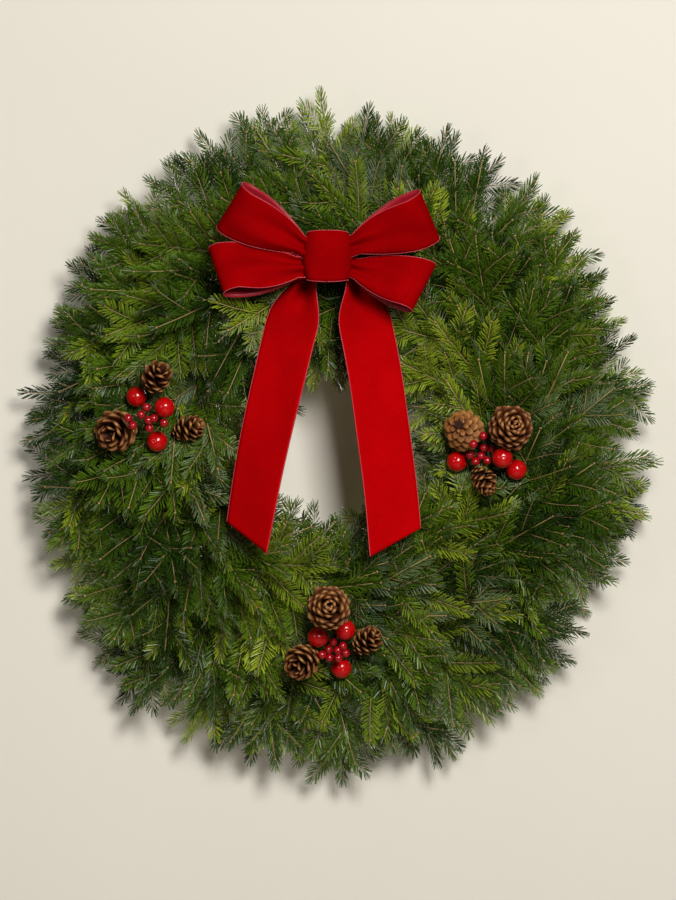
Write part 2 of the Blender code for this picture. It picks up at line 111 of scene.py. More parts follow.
# %% Helpers for materials
def material(name, roughness, **values):
    """A new material, its node tree and its shader, with plain values on the shader."""
    made = bpy.data.materials.new(name)
    made.use_nodes = True
    shader = made.node_tree.nodes["Principled BSDF"]
    shader.inputs["Roughness"].default_value = roughness
    for socket, value in values.items():
        shader.inputs[socket.replace("_", " ")].default_value = value
    return made, made.node_tree, shader


def add(tree, kind, **values):
    """A new node; a value that is another node's output is linked."""
    node = tree.nodes.new(kind)
    for key, value in values.items():
        if key in node.inputs:
            socket = node.inputs[key]
        elif key.startswith("input_"):
            socket = node.inputs[int(key[6:])]
        else:
            setattr(node, key, value)
            continue
        if isinstance(value, bpy.types.NodeSocket):
            tree.links.new(value, socket)
        else:
            socket.default_value = value
    return node


def ramp(tree, factor, stops):
    """A colour ramp from (place, colour) stops, driven by factor."""
    node = tree.nodes.new("ShaderNodeValToRGB")
    elements = node.color_ramp.elements
    while len(elements) < len(stops):
        elements.new(0.5)
    for element, (place, colour) in zip(elements, stops):
        element.position = place
        element.color = (*colour, 1)
    tree.links.new(factor, node.inputs["Fac"])
    return node.outputs["Color"]


def noise(tree, scale, detail=3.0, stretch=(1, 1, 1), rough=0.55):
    """A noise over the object's own coordinates, finer where it isn't stretched."""
    place = add(tree, "ShaderNodeTexCoord").outputs["Object"]
    mapped = add(tree, "ShaderNodeMapping", Vector=place, Scale=stretch).outputs["Vector"]
    return add(
        tree, "ShaderNodeTexNoise", Vector=mapped, Scale=scale, Detail=detail, Roughness=rough
    ).outputs["Fac"]


def mixed(tree, factor, first, second, blend="MIX"):
    """Two colours in one, by a factor that is a number or another node's output."""
    return add(
        tree, "ShaderNodeMix", data_type="RGBA", blend_type=blend,
        Factor=factor, input_6=first, input_7=second,
    ).outputs[2]


def bump(tree, height, strength, distance):
    """A relief that is drawn in the shading only."""
    made = add(tree, "ShaderNodeBump", Height=height, Strength=strength, Distance=distance)
    return made.outputs["Normal"]


# %% Build the wall and the floor
def stage_plane(name, size, place, turn, surface):
    """A plane of the stage, which is no part of the wreath."""
    bm = bmesh.new()
    bmesh.ops.create_grid(bm, x_segments=1, y_segments=1, size=size)
    bmesh.ops.transform(bm, matrix=Matrix.Translation(place) @ turn, verts=bm.verts)
    mesh = bpy.data.meshes.new(name)
    bm.to_mesh(mesh)
    bm.free()
    mesh.materials.append(surface)
    obj = bpy.data.objects.new(name, mesh)
    bpy.context.scene.collection.objects.link(obj)
    return obj


WALL_BEHIND = 14 * MM
FLOOR_BELOW = 0.95
wall_paint, tree, shader = material("wall_paint", 0.6)
tree.links.new(
    ramp(tree, noise(tree, 1.5), [(0.3, (0.73, 0.70, 0.615)), (0.7, (0.76, 0.73, 0.65))]),
    shader.inputs["Base Color"],
)
back_face = add(tree, "ShaderNodeNewGeometry").outputs["Backfacing"]
clear = add(tree, "ShaderNodeBsdfTransparent").outputs[0]
one_sided = add(
    tree, "ShaderNodeMixShader", input_0=back_face, input_1=shader.outputs[0], input_2=clear
)
tree.links.new(one_sided.outputs[0], tree.nodes["Material Output"].inputs["Surface"])
wall = stage_plane(
    "wall", 4.0, Vector((0, WALL_BEHIND, 0)), Matrix.Rotation(math.pi / 2, 4, "X"), wall_paint
)
wall.visible_shadow = False
wall.visible_diffuse = False
wall.visible_glossy = False

floor_paint, tree, shader = material("floor_paint", 0.55)
tree.links.new(
    ramp(tree, noise(tree, 2.0), [(0.3, (0.20, 0.17, 0.14)), (0.7, (0.27, 0.23, 0.19))]),
    shader.inputs["Base Color"],
)
stage_plane("floor", 12.0, Vector((0, 0, cad_low.z - FLOOR_BELOW)), Matrix.Identity(4), floor_paint)
print("wall", WALL_BEHIND, "behind, floor", FLOOR_BELOW, "below")


# %% Set the lights
def softbox(name, place, width, height, watts, colour=(1.0, 0.97, 0.93)):
    """A soft light with its face towards the middle of the ring."""
    data = bpy.data.lights.new(name, "AREA")
    data.shape = "RECTANGLE"
    data.size, data.size_y = width, height
    data.energy = watts
    data.color = colour
    obj = bpy.data.objects.new(name, data)
    obj.location = place
    obj.rotation_euler = (MIDDLE - Vector(place)).to_track_quat("-Z", "Y").to_euler()
    bpy.context.scene.collection.objects.link(obj)


softbox("key", (0.85, -3.6, 1.1), 1.0, 1.3, 152, (1.0, 0.975, 0.94))
softbox("fill", (-1.9, -2.6, 0.2), 0.7, 0.9, 7, (1.0, 0.96, 0.90))
softbox("back", (1.2, 2.6, 0.9), 1.4, 1.4, 100)
world = bpy.data.worlds.new("room")
world.use_nodes = True
world.node_tree.nodes["Background"].inputs["Color"].default_value = (1.0, 0.985, 0.96, 1)
world.node_tree.nodes["Background"].inputs["Strength"].default_value = 0.07
bpy.context.scene.world = world

# %% [markdown]
# ## Foliage finishes
# A needle is deep green and waxy above, paler and silvery below, and the young tips of a
# spray are more yellow. Painting well over a hundred thousand needles one by one would be
# slow, so each one reads a small map: the map runs from dark to bright greens one way, and
# along the needle the other way. Every spray is then shifted to its own place on the map.

# %% Make the foliage finishes
TONE_MAP = "OFBake"  # the map that needles, bark and buds read their colours from
NEEDLE, UNDERSIDE, BARK, BUD = range(4)
BANDS = {NEEDLE: (0.02, 0.44), UNDERSIDE: (0.50, 0.66), BARK: (0.71, 0.85), BUD: (0.90, 0.98)}


def tone_material(name, roughness, dull, bright, **values):
    """Colours by tone, which turn from one row of colours to another along the piece."""
    made, tree, shader = material(name, roughness, **values)
    place = add(tree, "ShaderNodeUVMap", uv_map=TONE_MAP).outputs["UV"]
    parts = add(tree, "ShaderNodeSeparateXYZ", Vector=place)
    low, high = BANDS[FOLIAGE_ORDER.index(name)]
    along = add(tree, "ShaderNodeMapRange", Value=parts.outputs["Y"])
    along.inputs["From Min"].default_value, along.inputs["From Max"].default_value = low, high
    rows = [ramp(tree, parts.outputs["X"], stops) for stops in (dull, bright)]
    tree.links.new(mixed(tree, along.outputs["Result"], *rows), shader.inputs["Base Color"])
    return made


FOLIAGE_ORDER = ("fir_needle", "fir_needle_underside", "fir_bark", "fir_bud")
FOLIAGE = [
    tone_material(
        "fir_needle",
        0.34,
        [
            (0.0, (0.003, 0.010, 0.001)),
            (0.30, (0.011, 0.034, 0.002)),
            (0.60, (0.042, 0.094, 0.003)),
            (1.0, (0.19, 0.27, 0.012)),
        ],
        [
            (0.0, (0.006, 0.019, 0.002)),
            (0.30, (0.026, 0.066, 0.003)),
            (0.60, (0.092, 0.168, 0.006)),
            (1.0, (0.38, 0.46, 0.030)),
        ],
        Specular_IOR_Level=0.26,
    ),
    tone_material(
        "fir_needle_underside",
        0.5,
        [(0.0, (0.022, 0.048, 0.014)), (1.0, (0.11, 0.165, 0.040))],
        [(0.0, (0.055, 0.098, 0.036)), (1.0, (0.22, 0.29, 0.10))],
    ),
    tone_material(
        "fir_bark",
        0.62,
        [(0.0, (0.13, 0.085, 0.030)), (1.0, (0.32, 0.22, 0.080))],
        [(0.0, (0.24, 0.18, 0.055)), (1.0, (0.48, 0.38, 0.13))],
    ),
    tone_material(
        "fir_bud",
        0.5,
        [(0.0, (0.20, 0.11, 0.035)), (1.0, (0.34, 0.19, 0.06))],
        [(0.0, (0.28, 0.17, 0.06)), (1.0, (0.46, 0.30, 0.12))],
    ),
]
print("foliage finishes", [m.name for m in FOLIAGE])

# %% [markdown]
# ## One needle
# A fir needle is a flat blade, about 17 mm long and 1.5 mm wide, with a keel below and a
# slight curve towards the tip of the shoot. There are so many that each may have only a few
# faces: a triangle is extruded twice along the blade, which gives a flat top and a keel,
# and its start is drawn to a point on the stem.


# %% Model the needle
def mesh_of(bm, name, surfaces=()):
    mesh = bpy.data.meshes.new(name)
    bm.to_mesh(mesh)
    bm.free()
    for surface in surfaces:
        mesh.materials.append(surface)
    return mesh


def face_outwards(bm):
    """Turns every face of a closed mesh so that its front is outside."""
    bmesh.ops.recalc_face_normals(bm, faces=bm.faces)
    if bm.calc_volume(signed=True) < 0:
        bmesh.ops.reverse_faces(bm, faces=bm.faces)


NEEDLE_LENGTH, NEEDLE_WIDTH = 17 * MM, 1.5 * MM
NEEDLE_BEND = 2.4 * MM
NEEDLE_STEPS = ((0.48, 0.30, 2.0), (0.52, 0.70, 0.62))  # shares of length and bend, and the widening
TONE_WIDTH = 0.02  # how much of the tone map one needle takes
FACES_FRONT = 0.3  # a needle's face that is turned up more than this is its upper side


def needle(bend):
    """A needle along X from the stem, its tip curved by bend towards +Y."""
    bm = bmesh.new()
    start = bmesh.ops.create_circle(bm, cap_ends=True, segments=3, radius=NEEDLE_WIDTH / 4)
    upright = Matrix(((0, 0, 1, 0), (1, 0, 0, 0), (0, -0.55, 0, 0), (0, 0, 0, 1)))
    bmesh.ops.transform(bm, matrix=upright, verts=bm.verts)
    end = bm.faces[:]
    for reach, aside, wider in NEEDLE_STEPS:
        inner = [f for f in end if any(len(e.link_faces) > 1 for e in f.edges)]
        moved = bmesh.ops.extrude_face_region(bm, geom=end)["geom"]
        end = [g for g in moved if isinstance(g, bmesh.types.BMFace)]
        bmesh.ops.delete(bm, geom=[f for f in inner if f.is_valid], context="FACES_ONLY")
        tips = end[0].verts[:]
        middle = end[0].calc_center_median()
        bmesh.ops.scale(bm, vec=(1, wider, wider), verts=tips, space=Matrix.Translation(-middle))
        bmesh.ops.translate(bm, vec=(reach * NEEDLE_LENGTH, aside * bend, 0), verts=tips)
    bmesh.ops.pointmerge(bm, verts=start["verts"], merge_co=(0, 0, 0))  # a point on the stem
    face_outwards(bm)
    tones = bm.loops.layers.uv.new(TONE_MAP)
    for face in bm.faces:
        face.material_index = NEEDLE if face.normal.z > FACES_FRONT else UNDERSIDE
        low, high = BANDS[face.material_index]
        for loop in face.loops:
            x, y, _ = loop.vert.co
            across = 0.5 + (y - bend * (x / NEEDLE_LENGTH)) / NEEDLE_WIDTH
            loop[tones].uv = (TONE_WIDTH * across, low + (high - low) * min(1, x / NEEDLE_LENGTH))
    return mesh_of(bm, "needle")


NEEDLES = {side: needle(-side * NEEDLE_BEND) for side in (1, -1)}  # by the side it grows on
print("needle faces", len(NEEDLES[1].polygons))

# %% [markdown]
# ## A stem
# Stems, wires and rods are all round lengths that follow a path. A circle is laid square
# across the start of the path, and its edge is extruded from point to point.


# %% Helper for round lengths
def stations(path, radii, closed=False):
    """A matrix for each point of a path: across it, as wide as the radius there."""
    side, made, last = None, [], len(path) - 1
    for n, (point, radius) in enumerate(zip(path, radii)):
        before = path[n - 1] if n or closed else point
        after = path[(n + 1) % len(path)] if n < last or closed else point
        ahead = (after - before).normalized()
        side = ahead.orthogonal() if side is None else side - ahead * side.dot(ahead)
        side.normalize()
        turn = Matrix((side, ahead.cross(side), ahead)).transposed().to_4x4()
        made.append(Matrix.Translation(point) @ turn @ Matrix.Diagonal((radius, radius, radius, 1)))
    return made


def round_length(path, radii, sides, slot=0, closed=False, surfaces=()):
    """A mesh of a round length along a path, capped at its ends or joined to itself."""
    bm = bmesh.new()
    frames = stations(path, radii, closed)
    circle = bmesh.ops.create_circle(bm, cap_ends=not closed, segments=sides, radius=1.0)["verts"]
    bmesh.ops.transform(bm, matrix=frames[0], verts=circle)
    first = edges = bm.edges[:]
    for before, here in zip(frames, frames[1:]):
        geom = bmesh.ops.extrude_edge_only(bm, edges=edges)["geom"]
        verts = {g for g in geom if isinstance(g, bmesh.types.BMVert)}
        bmesh.ops.transform(bm, matrix=here @ before.inverted(), verts=list(verts))
        edges = [g for g in geom if isinstance(g, bmesh.types.BMEdge) and set(g.verts) <= verts]
    if closed:
        bmesh.ops.bridge_loops(bm, edges=first + edges)
    else:
        bmesh.ops.contextual_create(bm, geom=edges)
    face_outwards(bm)
    tones = bm.loops.layers.uv.new(TONE_MAP)
    low, high = BANDS[slot] if slot in BANDS else (0, 1)
    start = min(path, key=lambda p: p.x).x
    length = max(MM, max(path, key=lambda p: p.x).x - start)
    for face in bm.faces:
        face.material_index = slot
        face.smooth = len(face.verts) == 4
        for loop in face.loops:
            share = min(1.0, max(0.0, (loop.vert.co.x - start) / length))
            loop[tones].uv = (TONE_WIDTH * (0.5 + loop.vert.co.y * 200), low + (high - low) * share)
    return mesh_of(bm, "round_length", surfaces)


def smooth_path(points, count):
    """Evenly spread points on a smooth curve through a few given ones."""
    ends = [points[0] * 2 - points[1], *points, points[-1] * 2 - points[-2]]
    path = []
    for k in range(count):
        place = k / (count - 1) * (len(points) - 1)
        n = min(int(place), len(points) - 2)
        t = place - n
        a, b, c, d = ends[n : n + 4]
        square = (2 * a - 5 * b + 4 * c - d) * t**2
        cube = (3 * b - a - 3 * c + d) * t**3
        path.append(0.5 * (2 * b + (c - a) * t + square + cube))
    return path


# %% [markdown]
# ## A shoot and a spray
# A shoot is one year's growth: a thin stem with needles in ranks on both sides, the lower
# ones spread flat like a comb and the upper ones raised, and a bud at the tip. A spray is
# a main shoot with pairs of side shoots at its nodes. A few sprays are modelled once and
# then copied, turned and tinted, because no eye can tell them apart in the whole wreath.


# %% Helpers for copies
SHIFT = np.tile(np.array((1, 0), np.float32), 100000)  # moves a map along its tones only


def put(bm, mesh, map_start, matrix, tone=0.0):
    """Adds a turned copy of a mesh to bm, shifted along the tone map."""
    copy = mesh.copy()
    copy.transform(matrix)
    copy.uv_layers[TONE_MAP].uv.foreach_set("vector", map_start + SHIFT[: len(map_start)] * tone)
    bm.from_mesh(copy)
    bpy.data.meshes.remove(copy)


def map_of(mesh):
    """The places of a mesh on its tone map, as one row of numbers."""
    places = np.zeros(2 * len(mesh.loops), np.float32)
    mesh.uv_layers[TONE_MAP].uv.foreach_get("vector", places)
    return places


def turned(degrees, axis):
    """A turn about an axis."""
    return Matrix.Rotation(math.radians(degrees), 4, axis)


# %% Model shoots
def bud(bm, place, way, size):
    """A blunt resinous bud."""
    path = [place, place + way * size * 0.55, place + way * size]
    bm.from_mesh(round_length(path, [size * 0.22, size * 0.34, size * 0.10], 5, BUD))


NEEDLE_MAPS = {side: map_of(mesh) for side, mesh in NEEDLES.items()}
RANKS = {
    "flat": (2, 9, 30, 14, 48),
    "raised": (14, 30, 52, 22, 68),
    "round": (0, 45, -40, 75, -75),
}  # degrees that each rank of needles is raised, in turn


def stem_at(length, bend, share):
    """Where a stem is at a share of its length, and its matrix there, X along it."""
    aside, lift = bend
    place = Vector((length * share, aside * share**2, lift * share**2))
    turn = Matrix.Rotation(math.atan2(2 * aside * share, length), 4, "Z")
    tilt = Matrix.Rotation(-math.atan2(2 * lift * share, length), 4, "Y")
    return place, Matrix.Translation(place) @ turn @ tilt


def shoot(rng, length, style, bend, thick=1.0, start=0.06):
    """One stem along X with its needles and its buds."""
    bm = bmesh.new()
    bm.loops.layers.uv.new(TONE_MAP)
    path = [stem_at(length, bend, k / 6)[0] for k in range(7)]
    radii = [MM * thick * (0.85 - 0.40 * k / 6) for k in range(7)]
    bm.from_mesh(round_length(path, radii, 5, BARK))
    count = round(length / MM * NEEDLES_PER_MM)
    for k in range(count):
        share = start + (0.985 - start) * (k + rng.uniform(-0.3, 0.3)) / count
        side = 1 if k % 2 else -1
        raised = RANKS[style][(k // 2) % 5] + rng.uniform(-7, 7)
        lean = 66 - 24 * share**2 - 0.22 * abs(raised) + rng.uniform(-7, 7)
        size = (0.80 + 0.55 * share - 0.62 * share**2) * rng.uniform(0.88, 1.1)
        matrix = (
            stem_at(length, bend, share)[1]
            @ turned(raised * side, "X")
            @ turned(lean * side, "Z")
            @ turned(rng.uniform(-16, 16), "X")
            @ Matrix.Diagonal((size, 1, 1, 1))
        )
        put(bm, NEEDLES[side], NEEDLE_MAPS[side], matrix, rng.uniform(0, 0.12))
    tip, at_tip = stem_at(length, bend, 1)
    for swing in (0, 24, -24)[: 1 if length < 0.06 else 3]:
        way = (at_tip @ turned(swing, "Z") @ turned(-8, "Y")).to_3x3() @ Vector((1, 0, 0))
        bud(bm, tip - way * 0.6 * MM, way, 3.3 * MM)
    for k in range(6):
        size = rng.uniform(0.6, 0.8)
        matrix = at_tip @ turned(60 * k + 20, "X") @ turned(rng.uniform(16, 38), "Z")
        matrix = matrix @ Matrix.Diagonal((size, 1, 1, 1))
        put(bm, NEEDLES[1], NEEDLE_MAPS[1], matrix, rng.uniform(0, 0.12))
    return mesh_of(bm, f"shoot_{style}")


def bend_of(rng, length):
    """How far a stem's tip lies aside and up."""
    return rng.uniform(-0.10, 0.10) * length, rng.uniform(-0.03, 0.10) * length


def side_length(n):
    """The length of side shoot number n."""
    return (34 + 7 * n) * MM


NEEDLES_PER_MM = 0.95
SIDE_SHOOTS = []
for n in range(8):
    rng = random.Random(100 + n)
    style = ("flat", "raised", "flat")[n % 3]
    SIDE_SHOOTS.append(shoot(rng, side_length(n), style, bend_of(rng, side_length(n)), 0.75))
SIDE_MAPS = [map_of(mesh) for mesh in SIDE_SHOOTS]
print("side shoots", [len(m.polygons) for m in SIDE_SHOOTS])


# %% Model sprays
SPRAY_LENGTH = 155 * MM


def spray(seed, style):
    """A main shoot with pairs of side shoots at its nodes, flat in the XY plane."""
    rng = random.Random(seed)
    bm = bmesh.new()
    bm.loops.layers.uv.new(TONE_MAP)
    bend = bend_of(rng, SPRAY_LENGTH)
    main = shoot(rng, SPRAY_LENGTH, style, bend, 1.25, start=0.16)
    put(bm, main, map_of(main), Matrix.Identity(4))
    for share, sizes, lean in ((0.24, (5, 7), 50), (0.50, (3, 5), 46), (0.73, (0, 2), 44)):
        for side in (1, -1):
            if rng.random() < 0.12:
                continue
            pick = rng.randint(*sizes)
            matrix = (
                stem_at(SPRAY_LENGTH, bend, share + rng.uniform(-0.03, 0.03))[1]
                @ turned(rng.uniform(-10, 14) * side, "X")
                @ turned((lean + rng.uniform(-7, 7)) * side, "Z")
            )
            put(bm, SIDE_SHOOTS[pick], SIDE_MAPS[pick], matrix, rng.uniform(-0.02, 0.06))
    return mesh_of(bm, f"spray_{seed}")


SPRAYS = [spray(200 + n, ("flat", "raised")[n % 2]) for n in range(12)]
SPRAY_MAPS = [map_of(mesh) for mesh in SPRAYS]
print("sprays", [len(m.polygons) for m in SPRAYS])

# %% [markdown]
# ## The bunches
# Each bunch is tied at a clamp and fans out from a point just past it. Its tips rise as they
# go round the ring, because they lie on the stems of the next bunch, and they lie back
# towards the rims and where the bow and the picks press on them. A front layer of sprays
# reaches the full length, a back layer fills behind it, and loose shoots stand up between.

# %% Where the foliage lies
RING_RADIUS = 203 * MM
BUNCH_COUNT, FIRST_CLAMP = 18, 80.0  # the first clamp's place round the ring, in degrees
NECK_DEPTH = 11 * MM  # the tied stems lie this far in front of the rod
RAMP_START, RAMP_RISE = 4.5, 2.3 * MM  # degrees past the clamp, and the rise for each degree
EDGE_FALL = 16.0  # how fast the rise falls off towards the rims, for each square metre
FOCUS = 22 * MM  # a bunch fans out from a point this far past its clamp
OVAL, OVAL_FROM = 0.088, 120 * MM  # the outside is higher than wide by this share
DROOP = 0.20  # near the top, the tips inside the ring hang longer by this share
SAG = 0.014  # the boughs settle a little, down and to the right
TIPS = (  # each tip's angle from the way round the ring, in degrees, and its reach in mm
    (-84, 129), (-60, 147), (-36, 150), (-12, 148), (12, 150), (35, 152), (57, 149), (79, 138)
)
LOOSE_SHOOTS, CUT_STEMS = 9, 9  # in each bunch


def seats():
    """Where the bow and the picks press the foliage back: place, reach and share."""
    for node, reach, share in (
        ("bow_center_band", 62 * MM, 0.28),
        ("left_berry_spray", 48 * MM, 0.30),
        ("right_berry_spray", 48 * MM, 0.30),
        ("bottom_berry_spray", 48 * MM, 0.30),
    ):
        low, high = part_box(node)
        yield (low + high) / 2 - MIDDLE, reach, share


SEATS = list(seats())


def depth_at(x, z, clamp):
    """How far in front of the rod the middle of a bunch lies at a place."""
    past = (math.degrees(math.atan2(z, x)) - clamp + 180) % 360 - 180
    share = max(0.25, 1 - EDGE_FALL * (math.hypot(x, z) - RING_RADIUS) ** 2)
    for place, reach, press in SEATS:
        away = (x - place.x) ** 2 + (z - place.z) ** 2
        share *= 1 - press * math.exp(-away / (2 * reach**2))
    return NECK_DEPTH + RAMP_RISE * max(0.0, past - RAMP_START) * share


def laid(x, z, clamp, forward=0.0):
    """A point of a bunch in the row frame."""
    return MIDDLE + Vector((x, -depth_at(x, z, clamp) - forward, z))


# %% Helpers for the bunches
def flat(point, y):
    """A point in the plane of the ring, moved to y in front of it, in the row frame."""
    return MIDDLE + Vector((point.x, y, point.y))


def tip_of(focus, along, out, angle, reach):
    """A tip in the plane of the ring: oval outside the rod, as the boughs are."""
    bent = math.radians(angle)
    place = focus + (along * math.cos(bent) + out * math.sin(bent)) * reach
    beyond = min(1.0, max(0.0, (place.length - RING_RADIUS) / OVAL_FROM))
    sag = SAG * beyond * (place.x - place.y) / place.length
    return place * (1 + sag + OVAL * beyond * (place.y / place.length) ** 2)


def lay(bm, base, tip, length, shape, shape_map, roll, tone):
    """Puts a spray or a shoot between two points, its upper side to the front."""
    ahead = (tip - base).normalized()
    up = Vector((0, -1, 0))
    up = (up - ahead * up.dot(ahead)).normalized()
    turn = Matrix((ahead, up.cross(ahead), up)).transposed().to_4x4()
    stretch = Matrix.Diagonal(((tip - base).length / length, 1, 1, 1))
    put(bm, shape, shape_map, Matrix.Translation(base) @ turn @ turned(roll, "X") @ stretch, tone)


def tone_of(rng):
    """Most sprays are mid green, with some dark and a few bright ones."""
    return min(0.84, max(0.02, rng.gauss(0.39, 0.23)))


# For each layer of sprays: how far forward it lies, its mean turn, its reach, and the shift of its tone,
# which darkens the back layer as painted shade.
LAYERS = {
    "front": (5 * MM, 0, 1.0, (0.89, 1.0), 0.0),
    "back": (-7 * MM, 12, 0.93, (0.93, 1.04), -0.08),
}


def lay_sprays(bm, rng, clamp, out, along, focus):
    """Both layers of a bunch, a spray for each tip."""
    full = rng.uniform(0.95, 1.04)
    hang = max(0.0, out.y)
    for layer, (forward, turn, shorter, spread, painted_shade) in LAYERS.items():
        for k, (angle, reach) in enumerate(TIPS):
            if layer == "back" and k in (0, len(TIPS) - 1) and rng.random() < 0.3:
                continue
            inward = max(0.0, -math.sin(math.radians(angle)))
            reach *= MM * full * shorter * (1 + DROOP * inward * hang) * rng.uniform(*spread)
            reach *= 1.06 if rng.random() < 0.08 else 1
            lean = rng.uniform(-13, 13) + turn
            end = tip_of(focus, along, out, angle + lean, reach)
            tip = laid(end.x, end.y, clamp, forward + rng.uniform(-3, 5) * MM)
            toward = (end - focus).normalized()
            start = end - toward * SPRAY_LENGTH * rng.uniform(0.88, 1.04)
            behind = 0.25 * max(0.0, (start - focus).dot(toward))
            base = flat(start, -NECK_DEPTH - rng.uniform(-3, 5) * MM - behind)
            flip = 180 if rng.random() < 0.10 else 0
            pick = rng.randrange(len(SPRAYS))
            roll = rng.gauss(0, 17) + flip
            # Painted shade: the back layer's sprays are painted darker than the front ones.
            lay(bm, base, tip, SPRAY_LENGTH, SPRAYS[pick], SPRAY_MAPS[pick], roll, tone_of(rng) + painted_shade)


def lay_loose_shoots(bm, rng, clamp, out, along, focus):
    """Short shoots that stand up between the sprays, pointing more freely."""
    for _ in range(LOOSE_SHOOTS):
        end = tip_of(focus, along, out, rng.uniform(-75, 75), rng.uniform(70, 125) * MM)
        tip = laid(end.x, end.y, clamp, rng.uniform(8, 17) * MM)
        toward = (end - focus).normalized()
        toward.rotate(Matrix.Rotation(math.radians(rng.uniform(-62, 62)), 2))
        start = end - toward * rng.uniform(55, 80) * MM
        base = laid(start.x, start.y, clamp, -4 * MM)
        pick = rng.randrange(3, len(SIDE_SHOOTS))
        roll = rng.gauss(0, 20)
        # Painted light: the loose shoots stand furthest forward and are painted a little brighter.
        tone = tone_of(rng) + 0.05
        lay(bm, base, tip, side_length(pick), SIDE_SHOOTS[pick], SIDE_MAPS[pick], roll, tone)


def lay_cut_stems(bm, rng, out, along, focus):
    """The tied stems, from their cut ends through the clamp and on into the fan."""
    rod = out * RING_RADIUS
    for k in range(CUT_STEMS):
        aside = Vector((out.x, 0, out.y)) * rng.uniform(-6, 6) * MM
        aside += Vector((0, rng.uniform(-5, 4) * MM, 0))
        angle = math.radians(-70 + 140 * k / (CUT_STEMS - 1))
        fanned = focus + (along * math.cos(angle) + out * math.sin(angle)) * 34 * MM
        cut = rod - along * 40 * MM
        slid = Vector((along.x, 0, along.y)) * rng.uniform(-8, 8) * MM
        points = [
            flat(cut, -NECK_DEPTH) + aside * 1.3 + slid,
            flat(rod, -NECK_DEPTH) + aside,
            flat(focus, -NECK_DEPTH) + aside,
            flat(fanned, -NECK_DEPTH - 6 * MM),
        ]
        radius = rng.uniform(1.5, 2.6) * MM
        radii = [radius * (1 - 0.05 * n) for n in range(9)]
        bm.from_mesh(round_length(smooth_path(points, 9), radii, 7, BARK))


# %% Build the bunches
def bunch(number):
    """One bunch, tied in its clamp: two layers of sprays, loose shoots and cut stems."""
    rng = random.Random(1000 + number)
    clamp = FIRST_CLAMP + number * 360 / BUNCH_COUNT
    out = Vector((math.cos(math.radians(clamp)), math.sin(math.radians(clamp))))
    along = Vector((-out.y, out.x))
    focus = out * RING_RADIUS + along * FOCUS
    bm = bmesh.new()
    bm.loops.layers.uv.new(TONE_MAP)
    lay_sprays(bm, rng, clamp, out, along, focus)
    lay_loose_shoots(bm, rng, clamp, out, along, focus)
    lay_cut_stems(bm, rng, out, along, focus)
    name = f"fir_bunch_{number + 1:02d}"
    obj = bpy.data.objects.new(name, mesh_of(bm, name, FOLIAGE))
    bpy.context.scene.collection.objects.link(obj)
    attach(obj, "root")
    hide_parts(f"bough_bunch_{number + 1:02d}")
    return obj


BUNCHES = [bunch(n) for n in range(BUNCH_COUNT)]
print("faces in the bunches", [len(o.data.polygons) for o in BUNCHES])
print("triangles", sum(len(p.vertices) - 2 for o in BUNCHES for p in o.data.polygons))

# %% [markdown]
# ## The bow
# The bow is of wired velvet ribbon, 63.5 mm wide: four loops and two tails gathered behind
# one small round loop in the middle. Velvet is matt and deep, with a soft sheen where the
# pile is seen on edge. Its back is a paler satin, and a fine stitched wire runs along each
# edge. Each length of ribbon is a flat grid that is curved along its path, then thickened.

# %% Make the ribbon finishes
RIBBON_WIDTH = 63.5 * MM
RIBBON_THICKNESS = 0.9 * MM
WIRE_EDGE = 0.5 * MM

velvet, tree, shader = material(
    "red_velvet", 0.9, Sheen_Weight=0.10, Sheen_Roughness=0.34, Sheen_Tint=(1.0, 0.0, 0.0, 1),
    Specular_IOR_Level=0.0,
)
pile = noise(tree, 900, 2.0)
# Painted shade: the velvet is painted darker higher up, at the knot and the loops, and lighter towards
# the foot of the tails, over a slow random drift.
height = add(tree, "ShaderNodeSeparateXYZ", Vector=add(tree, "ShaderNodeTexCoord").outputs["Object"])
lower = add(tree, "ShaderNodeMapRange", Value=height.outputs["Z"])
for socket, value in (("From Min", -0.05), ("From Max", -0.17), ("To Max", 0.5)):
    lower.inputs[socket].default_value = value
drift_and_painted_shade = add(tree, "ShaderNodeMath", operation="MULTIPLY_ADD", input_0=noise(tree, 28, 3.0), input_1=0.5)
tree.links.new(lower.outputs["Result"], drift_and_painted_shade.inputs[2])
deep = ramp(
    tree, drift_and_painted_shade.outputs[0], [(0.15, (0.25, 0.0004, 0.0012)), (0.85, (0.48, 0.0008, 0.0024))]
)
nap = ramp(tree, pile, [(0.3, (0.82, 0.82, 0.82)), (0.7, (1.08, 1.08, 1.08))])
tree.links.new(mixed(tree, 1.0, deep, nap, "MULTIPLY"), shader.inputs["Base Color"])
tree.links.new(bump(tree, pile, 0.35, 0.25 * MM), shader.inputs["Normal"])

satin, tree, shader = material(
    "red_satin_back", 0.40, Sheen_Weight=0.08, Sheen_Tint=(1.0, 0.4, 0.45, 1), Specular_IOR_Level=0.35
)
twill = add(tree, "ShaderNodeTexWave", bands_direction="DIAGONAL", Scale=520.0, Distortion=0.6)
tree.links.new(add(tree, "ShaderNodeTexCoord").outputs["Object"], twill.inputs["Vector"])
tree.links.new(
    ramp(tree, twill.outputs["Fac"], [(0.2, (0.27, 0.004, 0.013)), (0.8, (0.39, 0.010, 0.025))]),
    shader.inputs["Base Color"],
)
tree.links.new(bump(tree, twill.outputs["Fac"], 0.3, 0.15 * MM), shader.inputs["Normal"])

stitching, tree, shader = material(
    "edge_stitching", 0.5, Sheen_Weight=0.4, Sheen_Tint=(1.0, 0.5, 0.5, 1)
)
tree.links.new(
    ramp(tree, noise(tree, 700, 2.0), [(0.3, (0.45, 0.015, 0.030)), (0.7, (0.66, 0.060, 0.085))]),
    shader.inputs["Base Color"],
)
print("ribbon finishes", velvet.name, satin.name, stitching.name)


# %% Helpers for ribbon
def finished(name, mesh, nodes):
    """Adds a piece that stands for CAD nodes, and hides those nodes."""
    obj = bpy.data.objects.new(name, mesh)
    bpy.context.scene.collection.objects.link(obj)
    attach(obj, "root")
    if nodes:
        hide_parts(*nodes)
    return obj


